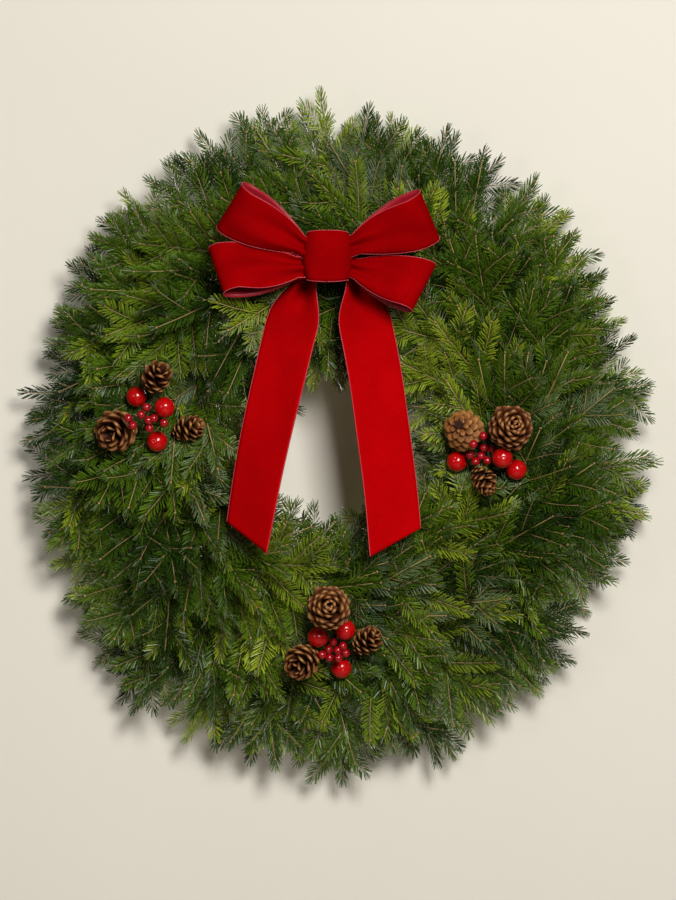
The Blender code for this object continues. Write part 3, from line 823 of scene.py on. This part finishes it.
def ribbon(name, node, surface, steps, closed=False, across=14):
    """A length of ribbon: surface(t, s) gives each point, t along it and s across it."""
    middle = [surface(k / 200, 0.0) for k in range(201)]
    length = sum((b - a).length for a, b in zip(middle, middle[1:]))
    bm = bmesh.new()
    bmesh.ops.create_grid(bm, x_segments=steps, y_segments=across, size=0.5, calc_uvs=True)
    for vert in bm.verts:
        vert.co = surface(vert.co.x + 0.5, vert.co.y)
    if closed:
        bmesh.ops.remove_doubles(bm, verts=bm.verts, dist=0.01 * MM)
    for face in bm.faces:
        face.smooth = True
    area = sum(face.calc_area() for face in bm.faces)
    obj = finished(name, mesh_of(bm, name, (velvet, satin, velvet)), [node])
    wall = obj.modifiers.new("thickness", "SOLIDIFY")
    wall.thickness, wall.offset = RIBBON_THICKNESS, -1
    wall.material_offset, wall.material_offset_rim = 1, 2
    edges = bmesh.new()
    count = round(length / (1.1 * MM))
    for side in (-0.5, 0.5):
        shares = [k / (count - (not closed)) for k in range(count)]
        points = [surface(share, side) for share in shares]
        inner = [surface(share, side * 0.94) for share in shares]
        path = [p + (q - p) * 0.12 + Vector((0, 0.3 * MM, 0)) for p, q in zip(points, inner)]
        radii = [WIRE_EDGE * (1.15 if k % 2 else 0.72) for k in range(count)]
        edges.from_mesh(round_length(path, radii, 5, closed=closed))
    stitched = mesh_of(edges, f"{name}_edges", (stitching,))
    edge = finished(f"{name}_stitched_edges", stitched, [])
    print(name, "area", round(area * 1e4, 1), "cm2 of", round(RIBBON_WIDTH * length * 1e4, 1))
    return obj


band_low, band_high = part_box("bow_center_band")
BAND_MIDDLE = (band_low + band_high) / 2
BAND_WIDE, BAND_DEEP, BAND_TALL = band_high - band_low


# %% Build the loops of the bow
# For each loop, in mm from the middle of the ring: where it is pinched and where it ends
# (right, up), then its turn and its lean in degrees, and how full it is in mm.
BOW_LOOPS = {
    "upper_left": ((-29, 203.5), (-112, 251), -2, 24, 20),
    "lower_left": ((-29, 183), (-127, 178), 16, -26, 18),
    "upper_right": ((17, 205), (105, 241), -1, 24, 21),
    "lower_right": ((17, 184), (99, 160), 11, -15, 18),
}
BOWED = 0.94  # each loop is bowed a little from edge to edge


def loop_surface(name, row):
    """The surface of one loop: out from the gathers along its front, back along its back."""
    (px, pz), (ex, ez), turn, lean, fullness = row
    ahead_of_band = (3 if name.startswith("upper") else -4) * MM
    pinch = Vector((MIDDLE.x + px * MM, BAND_MIDDLE.y - ahead_of_band, MIDDLE.z + pz * MM))
    end = Vector((MIDDLE.x + ex * MM, BAND_MIDDLE.y - 8 * MM - 0.5 * ahead_of_band, MIDDLE.z + ez * MM))
    way = end - pinch
    reach = way.length
    way.normalize()
    up = Vector((0, -1, 0)).cross(way) * (1 if way.x > 0 else -1)
    rng = random.Random(name)
    phases = [rng.uniform(0, 6) for _ in range(4)]

    def surface(share, s):
        t = 0.03 + 0.94 * share
        go = math.sin(math.pi * t)
        bulge = math.sin(2 * math.pi * t) * go**0.55
        open_up = min(1.0, go**1.4 * 1.25)
        wide = max(0.0, (go - 0.25) / 0.75)
        width = RIBBON_WIDTH * (1 - 0.62 * (1 - wide) ** 2.2)
        twist, tip_over = math.radians(turn) * open_up, math.radians(lean) * open_up
        across = up * math.cos(twist) + way * math.sin(twist)
        across = across * math.cos(tip_over) + Vector((0, -1, 0)) * math.sin(tip_over)
        ahead = Vector((0, -1, 0)) * math.cos(tip_over) - up * math.sin(tip_over)
        spread = fullness * MM * (1.0 if t < 0.5 else 0.55)
        apart = (2 if t < 0.5 else -2) * MM * (1 - open_up)
        middle = pinch + way * (reach * (go - 0.17) / 0.83) + ahead * (bulge * spread + apart)
        gather = (1 - wide) ** 1.3
        folds = 4.2 * math.cos(2 * math.pi * 1.7 * s + phases[0]) * gather
        folds += 3.0 * math.cos(2 * math.pi * 1.1 * s + phases[1]) * gather * (1 - gather) * 3
        folds += 2.2 * math.sin(9 * go + 6 * s + phases[3]) * gather**0.5 * (1 - gather) ** 2 * 2
        folds += 0.9 * math.sin(5 * t + 4 * s + phases[2]) * open_up * (1 - abs(2 * t - 1) ** 6)
        folds += 4.0 * (math.cos(math.pi * s) - 0.64) * open_up * abs(2 * t - 1)
        return middle + across * width * BOWED * s + ahead * folds * MM * (1 if t < 0.5 else -0.6)

    return surface


def reversed_along(surface):
    """The same surface run from its other end, which puts its velvet side outside."""
    return lambda t, s: surface(1 - t, s)


for loop, row in BOW_LOOPS.items():
    surface = loop_surface(loop, row)
    if loop.endswith("left"):
        surface = reversed_along(surface)
    ribbon(f"bow_loop_{loop}_velvet", f"bow_loop_{loop}", surface, 72)


# %% Build the tails
BOW_TAILS = {  # the middle line of each tail (right, up), in mm from the middle of the ring
    "left": ((-22, 196), (-30, 168), (-44, 124), (-59, 62), (-72, 6), (-83, -48), (-94, -111)),
    "right": ((14, 196), (26, 168), (35, 124), (46, 66), (55, 2), (63, -60), (68, -116)),
}
CUT_SLANT = 13 * MM
TAIL_TURN = {"left": (24, 15), "right": (24, 0)}  # degrees it is turned, and more at its foot
TAIL_POINTS = 60
TAIL_START_Y = BAND_MIDDLE.y + BAND_DEEP / 2 + 6 * MM


def tail_surface(name, middles):
    """The surface of one tail: gathered at the knot, then open, and cut slanting."""
    side = -1 if name == "left" else 1
    path = smooth_path([Vector((x * MM, 0, z * MM)) for x, z in middles], TAIL_POINTS + 1)
    turn, foot_turn = TAIL_TURN[name]

    def surface(t, s):
        place = min(t * TAIL_POINTS, TAIL_POINTS - 0.001)
        n = int(place)
        point = path[n].lerp(path[n + 1], place - n)
        along = (path[min(n + 2, TAIL_POINTS)] - path[max(n - 1, 0)]).normalized()
        across = Vector((-along.z, 0, along.x))
        open_out = min(1.0, max(0.0, (t - 0.13) / 0.22))
        width = RIBBON_WIDTH * (0.34 + 0.66 * open_out * open_out * (3 - 2 * open_out))
        settle = min(1.0, max(0.0, t - 0.16) / 0.3)
        y = TAIL_START_Y - 20 * MM * settle * settle * (3 - 2 * settle)
        y += 2.2 * MM * math.sin(9 * t + side)
        cut = CUT_SLANT * max(0.0, t - 0.8) / 0.2
        gather = max(0.0, 1 - abs(t - 0.16) / 0.22)
        pleat = gather * gather * (3 - 2 * gather) * math.cos(2 * math.pi * 1.4 * s + 0.6 * side)
        fold = 4 * math.cos(math.pi * s) * (1 - 0.7 * t) + 8.5 * pleat
        fold += 0.7 * math.sin(14 * t + 5 * s * side)
        turned_out = math.radians(turn + foot_turn * t**2) * min(1.0, 3 * t)
        y += side * math.sin(turned_out) * width * s
        place = point + across * width * math.cos(turned_out) * s + along * cut * 2 * s * -side
        return MIDDLE + place + Vector((0, y - MIDDLE.y + fold * MM, 0))

    return surface


for tail, middles in BOW_TAILS.items():
    surface = tail_surface(tail, middles)
    ribbon(f"bow_tail_{tail}_velvet", f"bow_tail_{tail}", surface, 96)


# %% Build the small loop in the middle
def center_surface(t, s):
    """A barrel whose ribbon runs from side to side and closes at the back."""
    turn = 2 * math.pi * t
    x = math.copysign(abs(math.sin(turn)) ** 0.78, math.sin(turn))
    y = -math.copysign(abs(math.cos(turn)) ** 0.8, math.cos(turn))
    front = y < 0
    narrow = 1 if front else 1 - 0.55 * y
    bow_out = 1.05 - 0.17 * (2 * s) ** 2
    crease = 0.9 * math.cos(5.5 * s + 2.0 * x) if front else 0
    return BAND_MIDDLE + Vector(
        (
            x * narrow * (BAND_WIDE / 2 - 0.5 * MM) * bow_out,
            y * (BAND_DEEP / 2 - 1.5 * MM) * (1 - 0.08 * (2 * s) ** 4)
            - crease * MM * (1 - abs(x) ** 4),
            s * (BAND_TALL - 1 * MM) * (1 - 0.07 * abs(x) ** 3),
        )
    )


ribbon(
    "bow_center_loop_velvet", "bow_center_band", center_surface, 64,
    closed=True,
)

# %% [markdown]
# ## The cones
# A fir or pine cone is a stem with woody scales set round it in a spiral, each turned about
# 137.5 degrees from the last. The scales spread as the cone dries, so the cone seen from its
# tip is a rosette. One scale is modelled, with a thick rounded end, and each cone places it
# 36 to 92 times: small and upright near the tip, wide in the middle, small at the base.

# %% Make the cone finish
cone_wood, tree, shader = material("cone_scale_wood", 0.5, Specular_IOR_Level=0.2)
place = add(tree, "ShaderNodeUVMap", uv_map=TONE_MAP).outputs["UV"]
parts = add(tree, "ShaderNodeSeparateXYZ", Vector=place)
# Painted shade: along each scale the wood is painted near black at its root, where the scales overlap,
# and brightens to a tan end; the paler end is partly the wood's own colour.
dark = ramp(
    tree,
    parts.outputs["Y"],
    [
        (0.0, (0.008, 0.004, 0.003)),
        (0.58, (0.040, 0.011, 0.004)),
        (0.86, (0.095, 0.024, 0.007)),
        (0.96, (0.165, 0.050, 0.014)),
        (1.0, (0.50, 0.24, 0.085)),
    ],
)
pale = ramp(
    tree,
    parts.outputs["Y"],
    [
        (0.0, (0.03, 0.009, 0.003)),
        (0.45, (0.15, 0.044, 0.010)),
        (0.80, (0.40, 0.15, 0.034)),
        (1.0, (0.74, 0.40, 0.12)),
    ],
)
wood = mixed(tree, parts.outputs["X"], dark, pale)
streaks = noise(tree, 420, 4.0, rough=0.7)
grain = ramp(tree, streaks, [(0.3, (0.62, 0.60, 0.58)), (0.7, (1.1, 1.1, 1.1))])
tree.links.new(mixed(tree, 1.0, wood, grain, "MULTIPLY"), shader.inputs["Base Color"])
tree.links.new(bump(tree, streaks, 0.5, 0.4 * MM), shader.inputs["Normal"])
print("cone finish", cone_wood.name)


# %% Model a scale
def cone_scale():
    """A scale of unit length along X, spoon shaped, with a thick rounded end."""
    bm = bmesh.new()
    bmesh.ops.create_grid(bm, x_segments=5, y_segments=4, size=0.5)
    for vert in bm.verts:
        along, across = vert.co.x + 0.5, vert.co.y * 2
        wide = 0.12 + 0.26 * along**1.1
        reach = along * (1 - 0.24 * across**2 * along**2)
        vert.co = Vector((reach, across * wide, 0.10 * along**2 + 0.07 * (1 - across**2) * along))
    upper = set(bm.verts)
    bmesh.ops.solidify(bm, geom=bm.faces[:], thickness=0.06)
    for vert in bm.verts:
        swell = max(0.0, (vert.co.x - 0.60) / 0.40)
        vert.co.z += swell * (0.13 if vert in upper else 0.02)
    face_outwards(bm)
    tones = bm.loops.layers.uv.new(TONE_MAP)
    for face in bm.faces:
        face.smooth = True
        for loop in face.loops:
            x, y, z = loop.vert.co
            loop[tones].uv = (0.03 * (y + z + 0.5), min(0.999, max(0.0, x + 0.10 * abs(y))))
    return mesh_of(bm, "cone_scale")


SCALE = cone_scale()
SCALE_MAP = map_of(SCALE)
print("scale faces", len(SCALE.polygons))

# %% Build the cones
# For each cone: its width and length, the way its tip points (x, forward, z), how many
# scales, how pale they are, and how far they have opened.
CONES = {
    "left_cone_top": (33, 41, (0.35, 0.75, 0.6), 36, 0.20, 1.3),
    "left_cone_outer": (46, 46, (-0.45, 0.85, -0.25), 50, 0.14, 1.3),
    "left_cone_inner": (30, 38, (0.85, 0.45, 0.25), 46, 0.20, 0.95),
    "right_cone_inner": (46, 44, (0.25, -0.93, -0.25), 72, 0.60, 1.0),
    "right_cone_outer": (50, 50, (0.2, 0.95, 0.15), 92, 0.03, 1.0),
    "right_cone_bottom": (28, 36, (0.5, 0.45, -0.75), 46, 0.18, 1.05),
    "bottom_cone_top": (50, 46, (0.05, 0.97, 0.12), 84, 0.13, 1.0),
    "bottom_cone_right": (30, 38, (0.6, 0.5, 0.55), 46, 0.15, 1.0),
    "bottom_cone_left": (39, 43, (-0.4, 0.75, -0.35), 46, 0.20, 1.25),
}
GOLDEN_ANGLE = 137.508  # degrees from each scale to the next


def cone(name, row, seed):
    """One cone: a thin core and its scales, tip towards +Z, then turned into place."""
    wide, tall, (x, ahead, z), count, pale_share, opened = row
    low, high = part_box(name)
    middle = (low + high) / 2
    rng = random.Random(seed)
    turn = Vector((x, -ahead, z)).normalized().to_track_quat("Z", "Y").to_matrix().to_4x4()
    stand = Matrix.Translation(middle) @ turn
    bm = bmesh.new()
    bm.loops.layers.uv.new(TONE_MAP)
    core = [Vector((0, 0, tall * MM * (h - 0.5))) for h in (0.03, 0.3, 0.6, 0.85, 0.94)]
    core_mesh = round_length(core, [wide * MM * r for r in (0.10, 0.13, 0.12, 0.08, 0.03)], 8)
    inside = np.tile(np.array((0.02, 0.35), np.float32), len(core_mesh.loops))
    core_mesh.uv_layers[TONE_MAP].uv.foreach_set("vector", inside)
    core_mesh.transform(stand)
    bm.from_mesh(core_mesh)
    for k in range(count):
        share = (k + 0.5) / count
        height = tall * MM * (0.06 + 0.84 * share**0.92 - 0.5)
        girth = wide / 2 * MM * math.sin(math.pi * min(1.0, (0.06 + 0.92 * (1 - share)) ** 0.80)) ** 0.55
        size = max(0.20 * wide / 2 * MM, girth * 1.08) * rng.uniform(0.93, 1.05)
        rise = (-14 + 86 * share**1.8) / opened + rng.uniform(-6, 6)
        matrix = (
            stand
            @ Matrix.Translation((0, 0, height - 0.25 * size * math.sin(math.radians(rise))))
            @ turned(GOLDEN_ANGLE * k + rng.uniform(-5, 5), "Z")
            @ turned(-rise, "Y")
            @ turned(rng.uniform(-9, 9), "X")
            @ Matrix.Diagonal((size, size * (0.72 if count > 70 else 0.94), size * 0.9, 1))
        )
        tone = min(0.94, max(0.0, pale_share + rng.uniform(-0.14, 0.14) - 0.10 * share))
        put(bm, SCALE, SCALE_MAP, matrix, tone)
    finished(f"{name}_scales", mesh_of(bm, name, (cone_wood,)), [name])


for seed, (name, row) in enumerate(CONES.items()):
    cone(name, row, 400 + seed)
print("cones", len(CONES))

# %% [markdown]
# ## The berries
# The berries are lacquered: a deep red body under a clear coat that mirrors the lights. A
# large berry is turned from a profile, with a shallow blossom end in front. Eight small
# berries of each pick stand on thin wires that run together and back through the boughs.

# %% Make the berry finishes
lacquer, tree, shader = material(
    "berry_lacquer", 0.3, Coat_Weight=1.0, Coat_IOR=1.5, Coat_Roughness=0.17, Specular_IOR_Level=0.05
)
tree.links.new(
    ramp(tree, noise(tree, 90, 2.0), [(0.3, (0.47, 0.0010, 0.0020)), (0.7, (0.51, 0.0015, 0.0028))]),
    shader.inputs["Base Color"],
)
small_lacquer, tree, shader = material(
    "small_berry_lacquer", 0.3, Coat_Weight=1.0, Coat_IOR=1.6, Coat_Roughness=0.16,
    Specular_IOR_Level=0.05,
)
tree.links.new(
    ramp(tree, noise(tree, 200, 2.0), [(0.3, (0.31, 0.0012, 0.005)), (0.7, (0.37, 0.002, 0.008))]),
    shader.inputs["Base Color"],
)
wire_paint, tree, shader = material("green_florist_wire", 0.45, Metallic=0.3)
tree.links.new(
    ramp(tree, noise(tree, 300, 3.0), [(0.3, (0.035, 0.050, 0.028)), (0.7, (0.075, 0.095, 0.050))]),
    shader.inputs["Base Color"],
)
print("berry finishes", lacquer.name, small_lacquer.name)

# %% Build the large berries
LARGE_RADIUS = 11 * MM


def turned_berry(radius, steps, rings):
    """A berry turned about Y from half a profile, with a blossom end in front."""
    bm = bmesh.new()
    profile = [(0.0, 0.955), (0.07, 0.965), (0.12, 0.985)]
    for k in range(1, rings):
        angle = math.pi * (0.05 + 0.95 * k / rings)
        profile.append((math.sin(angle), math.cos(angle)))
    profile[-1] = (0.0, -1.0)
    verts = [bm.verts.new((r * radius, -h * radius, 0)) for r, h in profile]
    edges = [bm.edges.new(pair) for pair in zip(verts, verts[1:])]
    bmesh.ops.spin(
        bm, geom=verts + edges, cent=(0, 0, 0), axis=(0, 1, 0), angle=math.tau, steps=steps,
        use_merge=True,
    )
    bmesh.ops.remove_doubles(bm, verts=bm.verts, dist=0.005 * MM)
    face_outwards(bm)
    for face in bm.faces:
        face.smooth = True
    return mesh_of(bm, "berry")


LARGE_BERRIES = [f"left_berry_{n}" for n in ("upper", "inner", "lower")]
LARGE_BERRIES += [f"right_berry_{n}" for n in ("inner", "outer", "back")]
LARGE_BERRIES += [f"bottom_berry_{n}" for n in ("left", "right", "lower")]
BERRY = turned_berry(LARGE_RADIUS * 1.03, 40, 22)  # a little fuller than its solid
for seed, name in enumerate(LARGE_BERRIES):
    rng = random.Random(500 + seed)
    low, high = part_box(name)
    place = Vector(((low.x + high.x) / 2, low.y + LARGE_RADIUS, (low.z + high.z) / 2))
    bm = bmesh.new()
    body = BERRY.copy()
    body.transform(
        Matrix.Translation(place) @ turned(rng.uniform(-30, 30), "X") @ turned(rng.uniform(-30, 30), "Z")
    )
    bm.from_mesh(body)
    stem = [place + Vector((0, LARGE_RADIUS * 0.9 + d * MM, 0)) for d in (0, 2, 4)]
    bm.from_mesh(round_length(stem, [1.1 * MM] * 3, 8, slot=1))
    finished(f"{name}_lacquered", mesh_of(bm, name, (lacquer, wire_paint)), [name])
print("large berries", len(LARGE_BERRIES))

# %% Build the sprays of small berries
SMALL_RADIUS = 4.2 * MM
SPRAY_BERRIES = {  # each berry from where the wires join: right, up and forward, in mm
    "left": (
        (1, 17, 7), (-5, 9, 12), (-18, 5, 43), (3, 3, 8),
        (9, 5, 12), (-13, -3, 43), (4, -6, 8), (20, 0, 9),
    ),
    "right": (
        (3, 14, 37), (-8, 5, 46), (4, 1, 13), (13, 0, 7),
        (-11, -7, 12), (1, -8, 8), (-5, -14, 11), (8, -13, 9),
    ),
    "bottom": (
        (-1, 10, 9), (10, 6, 14), (-6, 2, 12), (4, 1, 8),
        (13, -2, 10), (-13, -3, 41), (-5, -7, 8), (5, -7, 30),
    ),
}
LEAST_FORWARD = 17  # mm in front of the join, so that no berry is sunk in the foliage
JOINS = {"left": (-204, 14), "right": (161, -14), "bottom": (1, -236)}
SMALL_BERRY = turned_berry(SMALL_RADIUS * 1.13, 20, 12)  # a little fuller than its solid
THIN_WIRE, PICK_WIRE = 0.55 * MM, 1.1 * MM  # radii: under each berry, and where they run together


def rod_wrap(foot, wire, turns=2.0):
    """A path wound round the rod at a foot angle, as a tight coil."""
    out = Vector((math.cos(foot), 0, math.sin(foot)))
    along = Vector((-out.z, 0, out.x))
    rod = MIDDLE + out * RING_RADIUS
    reach = 2 * MM + wire + 0.3 * MM
    return [
        rod
        + (out * math.cos(a) + Vector((0, 1, 0)) * math.sin(a)) * reach
        + along * (2.3 * wire * a / math.tau)
        for a in [math.tau * turns * k / 30 for k in range(31)]
    ]


for pick, berries in SPRAY_BERRIES.items():
    base_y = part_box(f"{pick}_berry_spray")[0].y + max(b[2] for b in berries) * MM + SMALL_RADIUS
    x, z = JOINS[pick]
    join = MIDDLE + Vector((x * MM, 0, z * MM))
    join.y = base_y + 1.5 * MM
    bm = bmesh.new()
    for dx, dz, forward in berries:
        forward = max(forward, LEAST_FORWARD + 0.3 * forward)
        place = Vector((join.x + dx * MM, base_y - forward * MM, join.z + dz * MM))
        ball = SMALL_BERRY.copy()
        ball.transform(Matrix.Translation(place) @ turned(9 * dx, "X") @ turned(11 * dz, "Z"))
        bm.from_mesh(ball)
        bend = (join + place) / 2 + Vector((dx, -3, dz)) * 0.12 * MM
        ends = join + Vector((0, 3 * MM, 0)), place + Vector((0, SMALL_RADIUS * 0.5, 0))
        path = smooth_path([ends[0], bend, ends[1]], 8)
        bm.from_mesh(round_length(path, [THIN_WIRE] * 8, 6, slot=1))
    foot = math.atan2(z, x)
    wrap = rod_wrap(foot, PICK_WIRE)
    path = [join, join.lerp(wrap[0], 0.5), wrap[0]]
    bm.from_mesh(round_length(smooth_path(path, 10), [PICK_WIRE] * 10, 7, slot=1))
    bm.from_mesh(round_length(wrap, [1.0 * MM] * len(wrap), 7, slot=1))
    mesh = mesh_of(bm, pick, (small_lacquer, wire_paint))
    finished(f"{pick}_small_berries", mesh, [f"{pick}_berry_spray"])
print("small berries", sum(len(b) for b in SPRAY_BERRIES.values()))

# %% [markdown]
# ## Pressed flat
# The boughs are soft. Behind, they are pressed flat by what the wreath hangs on, and in
# front the bow, the cones and the berries press them back. Rays find the back of each of
# those pieces, and the foliage keeps behind that surface, more freely further away.

# %% Press the foliage behind the bow and the picks
PRESS_STEP = 3 * MM  # the step of the grid
CLEARANCE = 3 * MM  # the foliage keeps this far behind an ornament
SLOPE = 0.9  # beside an ornament it may rise forward this fast
BEHIND = 3 * MM  # it may reach this far behind the hanging loop, and only a little further
HELD_FRONT, HELD_BACK = 0.94, 0.85  # the shares of what is too far that are taken away
GRID_MARGIN = 12  # steps past the CAD on each side
ORNAMENTS = [
    obj.name for obj in bpy.data.objects if obj.name.endswith(("_velvet", "_scales", "_lacquered"))
]


def ornament_tree():
    """Every ornament's faces, to be found by rays."""
    together = bmesh.new()
    for name in ORNAMENTS:
        together.from_mesh(bpy.data.objects[name].data)
    tree = BVHTree.FromBMesh(together)
    together.free()
    return tree


def press_map():
    """The lowest y that the foliage may have, over a grid in the plane of the ring."""
    tree = ornament_tree()
    across = int((cad_high.x - cad_low.x) / PRESS_STEP) + 2 * GRID_MARGIN
    high = int((cad_high.z - cad_low.z) / PRESS_STEP) + 2 * GRID_MARGIN
    start = (cad_low.x - GRID_MARGIN * PRESS_STEP, cad_low.z - GRID_MARGIN * PRESS_STEP)
    limit = np.full((across, high), -1.0)
    for i in range(across):
        for j in range(high):
            place = Vector((start[0] + i * PRESS_STEP, 0, start[1] + j * PRESS_STEP))
            hit = tree.ray_cast(place, Vector((0, -1, 0)))[0]
            if hit is not None:
                limit[i, j] = hit.y + CLEARANCE
    for axis in (0, 1):
        limit = np.maximum(limit, np.maximum(np.roll(limit, 1, axis), np.roll(limit, -1, axis)))
    for _ in range(16):
        for axis in (0, 1):
            for way in (1, -1):
                limit = np.maximum(limit, np.roll(limit, way, axis) - SLOPE * PRESS_STEP)
    return start, limit


PRESS_START, PRESS_LIMIT = press_map()


def cells(values, axis):
    """Which cells of the grid some x or z values are in."""
    place = (values - PRESS_START[axis]) / PRESS_STEP + 0.5
    return np.clip(place.astype(int), 0, PRESS_LIMIT.shape[axis] - 1)


def press(mesh):
    """Moves what is too far forward or too far back nearly to its limit."""
    co = np.zeros(3 * len(mesh.vertices), np.float32)
    mesh.vertices.foreach_get("co", co)
    co = co.reshape(-1, 3)
    i, j = cells(co[:, 0], 0), cells(co[:, 2], 1)
    ahead = PRESS_LIMIT[i, j] - co[:, 1]
    co[:, 1] += np.where(ahead > 0, ahead * HELD_FRONT, 0)
    behind = co[:, 1] - BEHIND
    co[:, 1] -= np.where(behind > 0, behind * HELD_BACK, 0)
    mesh.vertices.foreach_set("co", co.ravel())
    mesh.update()


for obj in BUNCHES:
    press(obj.data)
print("pressed", len(BUNCHES), "bunches behind", len(ORNAMENTS), "ornaments")

# %% [markdown]
# ## The ring, its clamps and the wires
# Behind the boughs is a ring of steel rod, coated green, with bent wire clamps that are
# closed over the stems of each bunch. A doubled florist wire, twisted and wrapped round the
# rod, makes the loop that the wreath hangs by, and another wire ties the bow.

# %% Build the ring and its clamps
coated, tree, shader = material("green_coated_steel", 0.42, Coat_Weight=0.3)
tree.links.new(
    ramp(tree, noise(tree, 220, 4.0), [(0.3, (0.022, 0.055, 0.028)), (0.7, (0.045, 0.095, 0.050))]),
    shader.inputs["Base Color"],
)
tree.links.new(bump(tree, noise(tree, 500, 2.0), 0.15, 0.2 * MM), shader.inputs["Normal"])
rod = [
    MIDDLE + Vector((math.cos(a), 0, math.sin(a))) * RING_RADIUS
    for a in [math.tau * k / 160 for k in range(160)]
]
bm = bmesh.new()
bm.from_mesh(round_length(rod, [2 * MM] * len(rod), 12, closed=True))
CLAMP_REACH, CLAMP_WIRE = 11.2 * MM, 1.6 * MM
for number in range(BUNCH_COUNT):
    a = math.radians(FIRST_CLAMP + number * 360 / BUNCH_COUNT)
    out = Vector((math.cos(a), 0, math.sin(a)))
    base = MIDDLE + out * RING_RADIUS
    path = [base + out * CLAMP_REACH * (k / 4) for k in range(-4, 5)]
    front = base + Vector((0, -NECK_DEPTH, 0))
    path += [
        front + (out * math.cos(b) + Vector((0, -1, 0)) * math.sin(b)) * CLAMP_REACH
        for b in [math.pi * k / 12 for k in range(13)]
    ]
    bm.from_mesh(round_length(path, [CLAMP_WIRE] * len(path), 9, closed=True))
finished("clamp_ring", mesh_of(bm, "clamp_ring", (coated,)), ["ring_frame"])
print("clamps", BUNCH_COUNT)

# %% Build the hanging loop and the tie wire
loop_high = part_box("hanging_loop")[1]
LOOP_WIRE, LOOP_HALF_WIDE, LOOP_HALF_TALL = 1.0 * MM, 8 * MM, 12 * MM
STRAND, LAY = 0.85 * MM, 0.95 * MM  # a strand's radius, and how far from the middle it turns
top = Vector((0, 0, loop_high.z - LOOP_WIRE))
centre = top - Vector((0, 0, LOOP_HALF_TALL))
bm = bmesh.new()
strand = [
    centre + Vector((LOOP_HALF_WIDE * math.sin(a), 0, LOOP_HALF_TALL * math.cos(a)))
    for a in [math.tau * (k / 48) for k in range(48)]
]
bm.from_mesh(round_length(strand, [LOOP_WIRE] * len(strand), 9, closed=True))
neck_z, foot_z = centre.z - LOOP_HALF_TALL, MIDDLE.z + RING_RADIUS + 3 * MM
for phase in (0, math.pi):
    twist = []
    for k in range(25):
        a = phase + 3.5 * math.pi * k / 24
        height = neck_z + (foot_z - neck_z) * k / 24
        twist.append(Vector((LAY * math.cos(a), LAY * math.sin(a), height)))
    bm.from_mesh(round_length(twist, [STRAND] * 25, 8))
    wrap = rod_wrap(math.pi / 2 + (0.02 if phase else -0.02), 0.9 * MM, 1.6)
    bm.from_mesh(round_length(wrap, [0.9 * MM] * len(wrap), 8))
mesh = mesh_of(bm, "hanging_loop_wire", (wire_paint,))
finished("hanging_loop_wire", mesh, ["hanging_loop"])

tie_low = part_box("bow_tie_wire")[0]
foot = math.atan2(BAND_MIDDLE.z - MIDDLE.z, BAND_MIDDLE.x - MIDDLE.x)
wrap = rod_wrap(foot, PICK_WIRE)
front = Vector((BAND_MIDDLE.x, tie_low.y + 0.5 * MM, BAND_MIDDLE.z))
bm = bmesh.new()
path = smooth_path([front, front.lerp(wrap[0], 0.5), wrap[0]], 14)
bm.from_mesh(round_length(path, [PICK_WIRE] * 14, 8))
bm.from_mesh(round_length(wrap, [1.0 * MM] * len(wrap), 8))
finished("bow_tie_wire_twist", mesh_of(bm, "bow_tie", (wire_paint,)), ["bow_tie_wire"])
print("wires made")
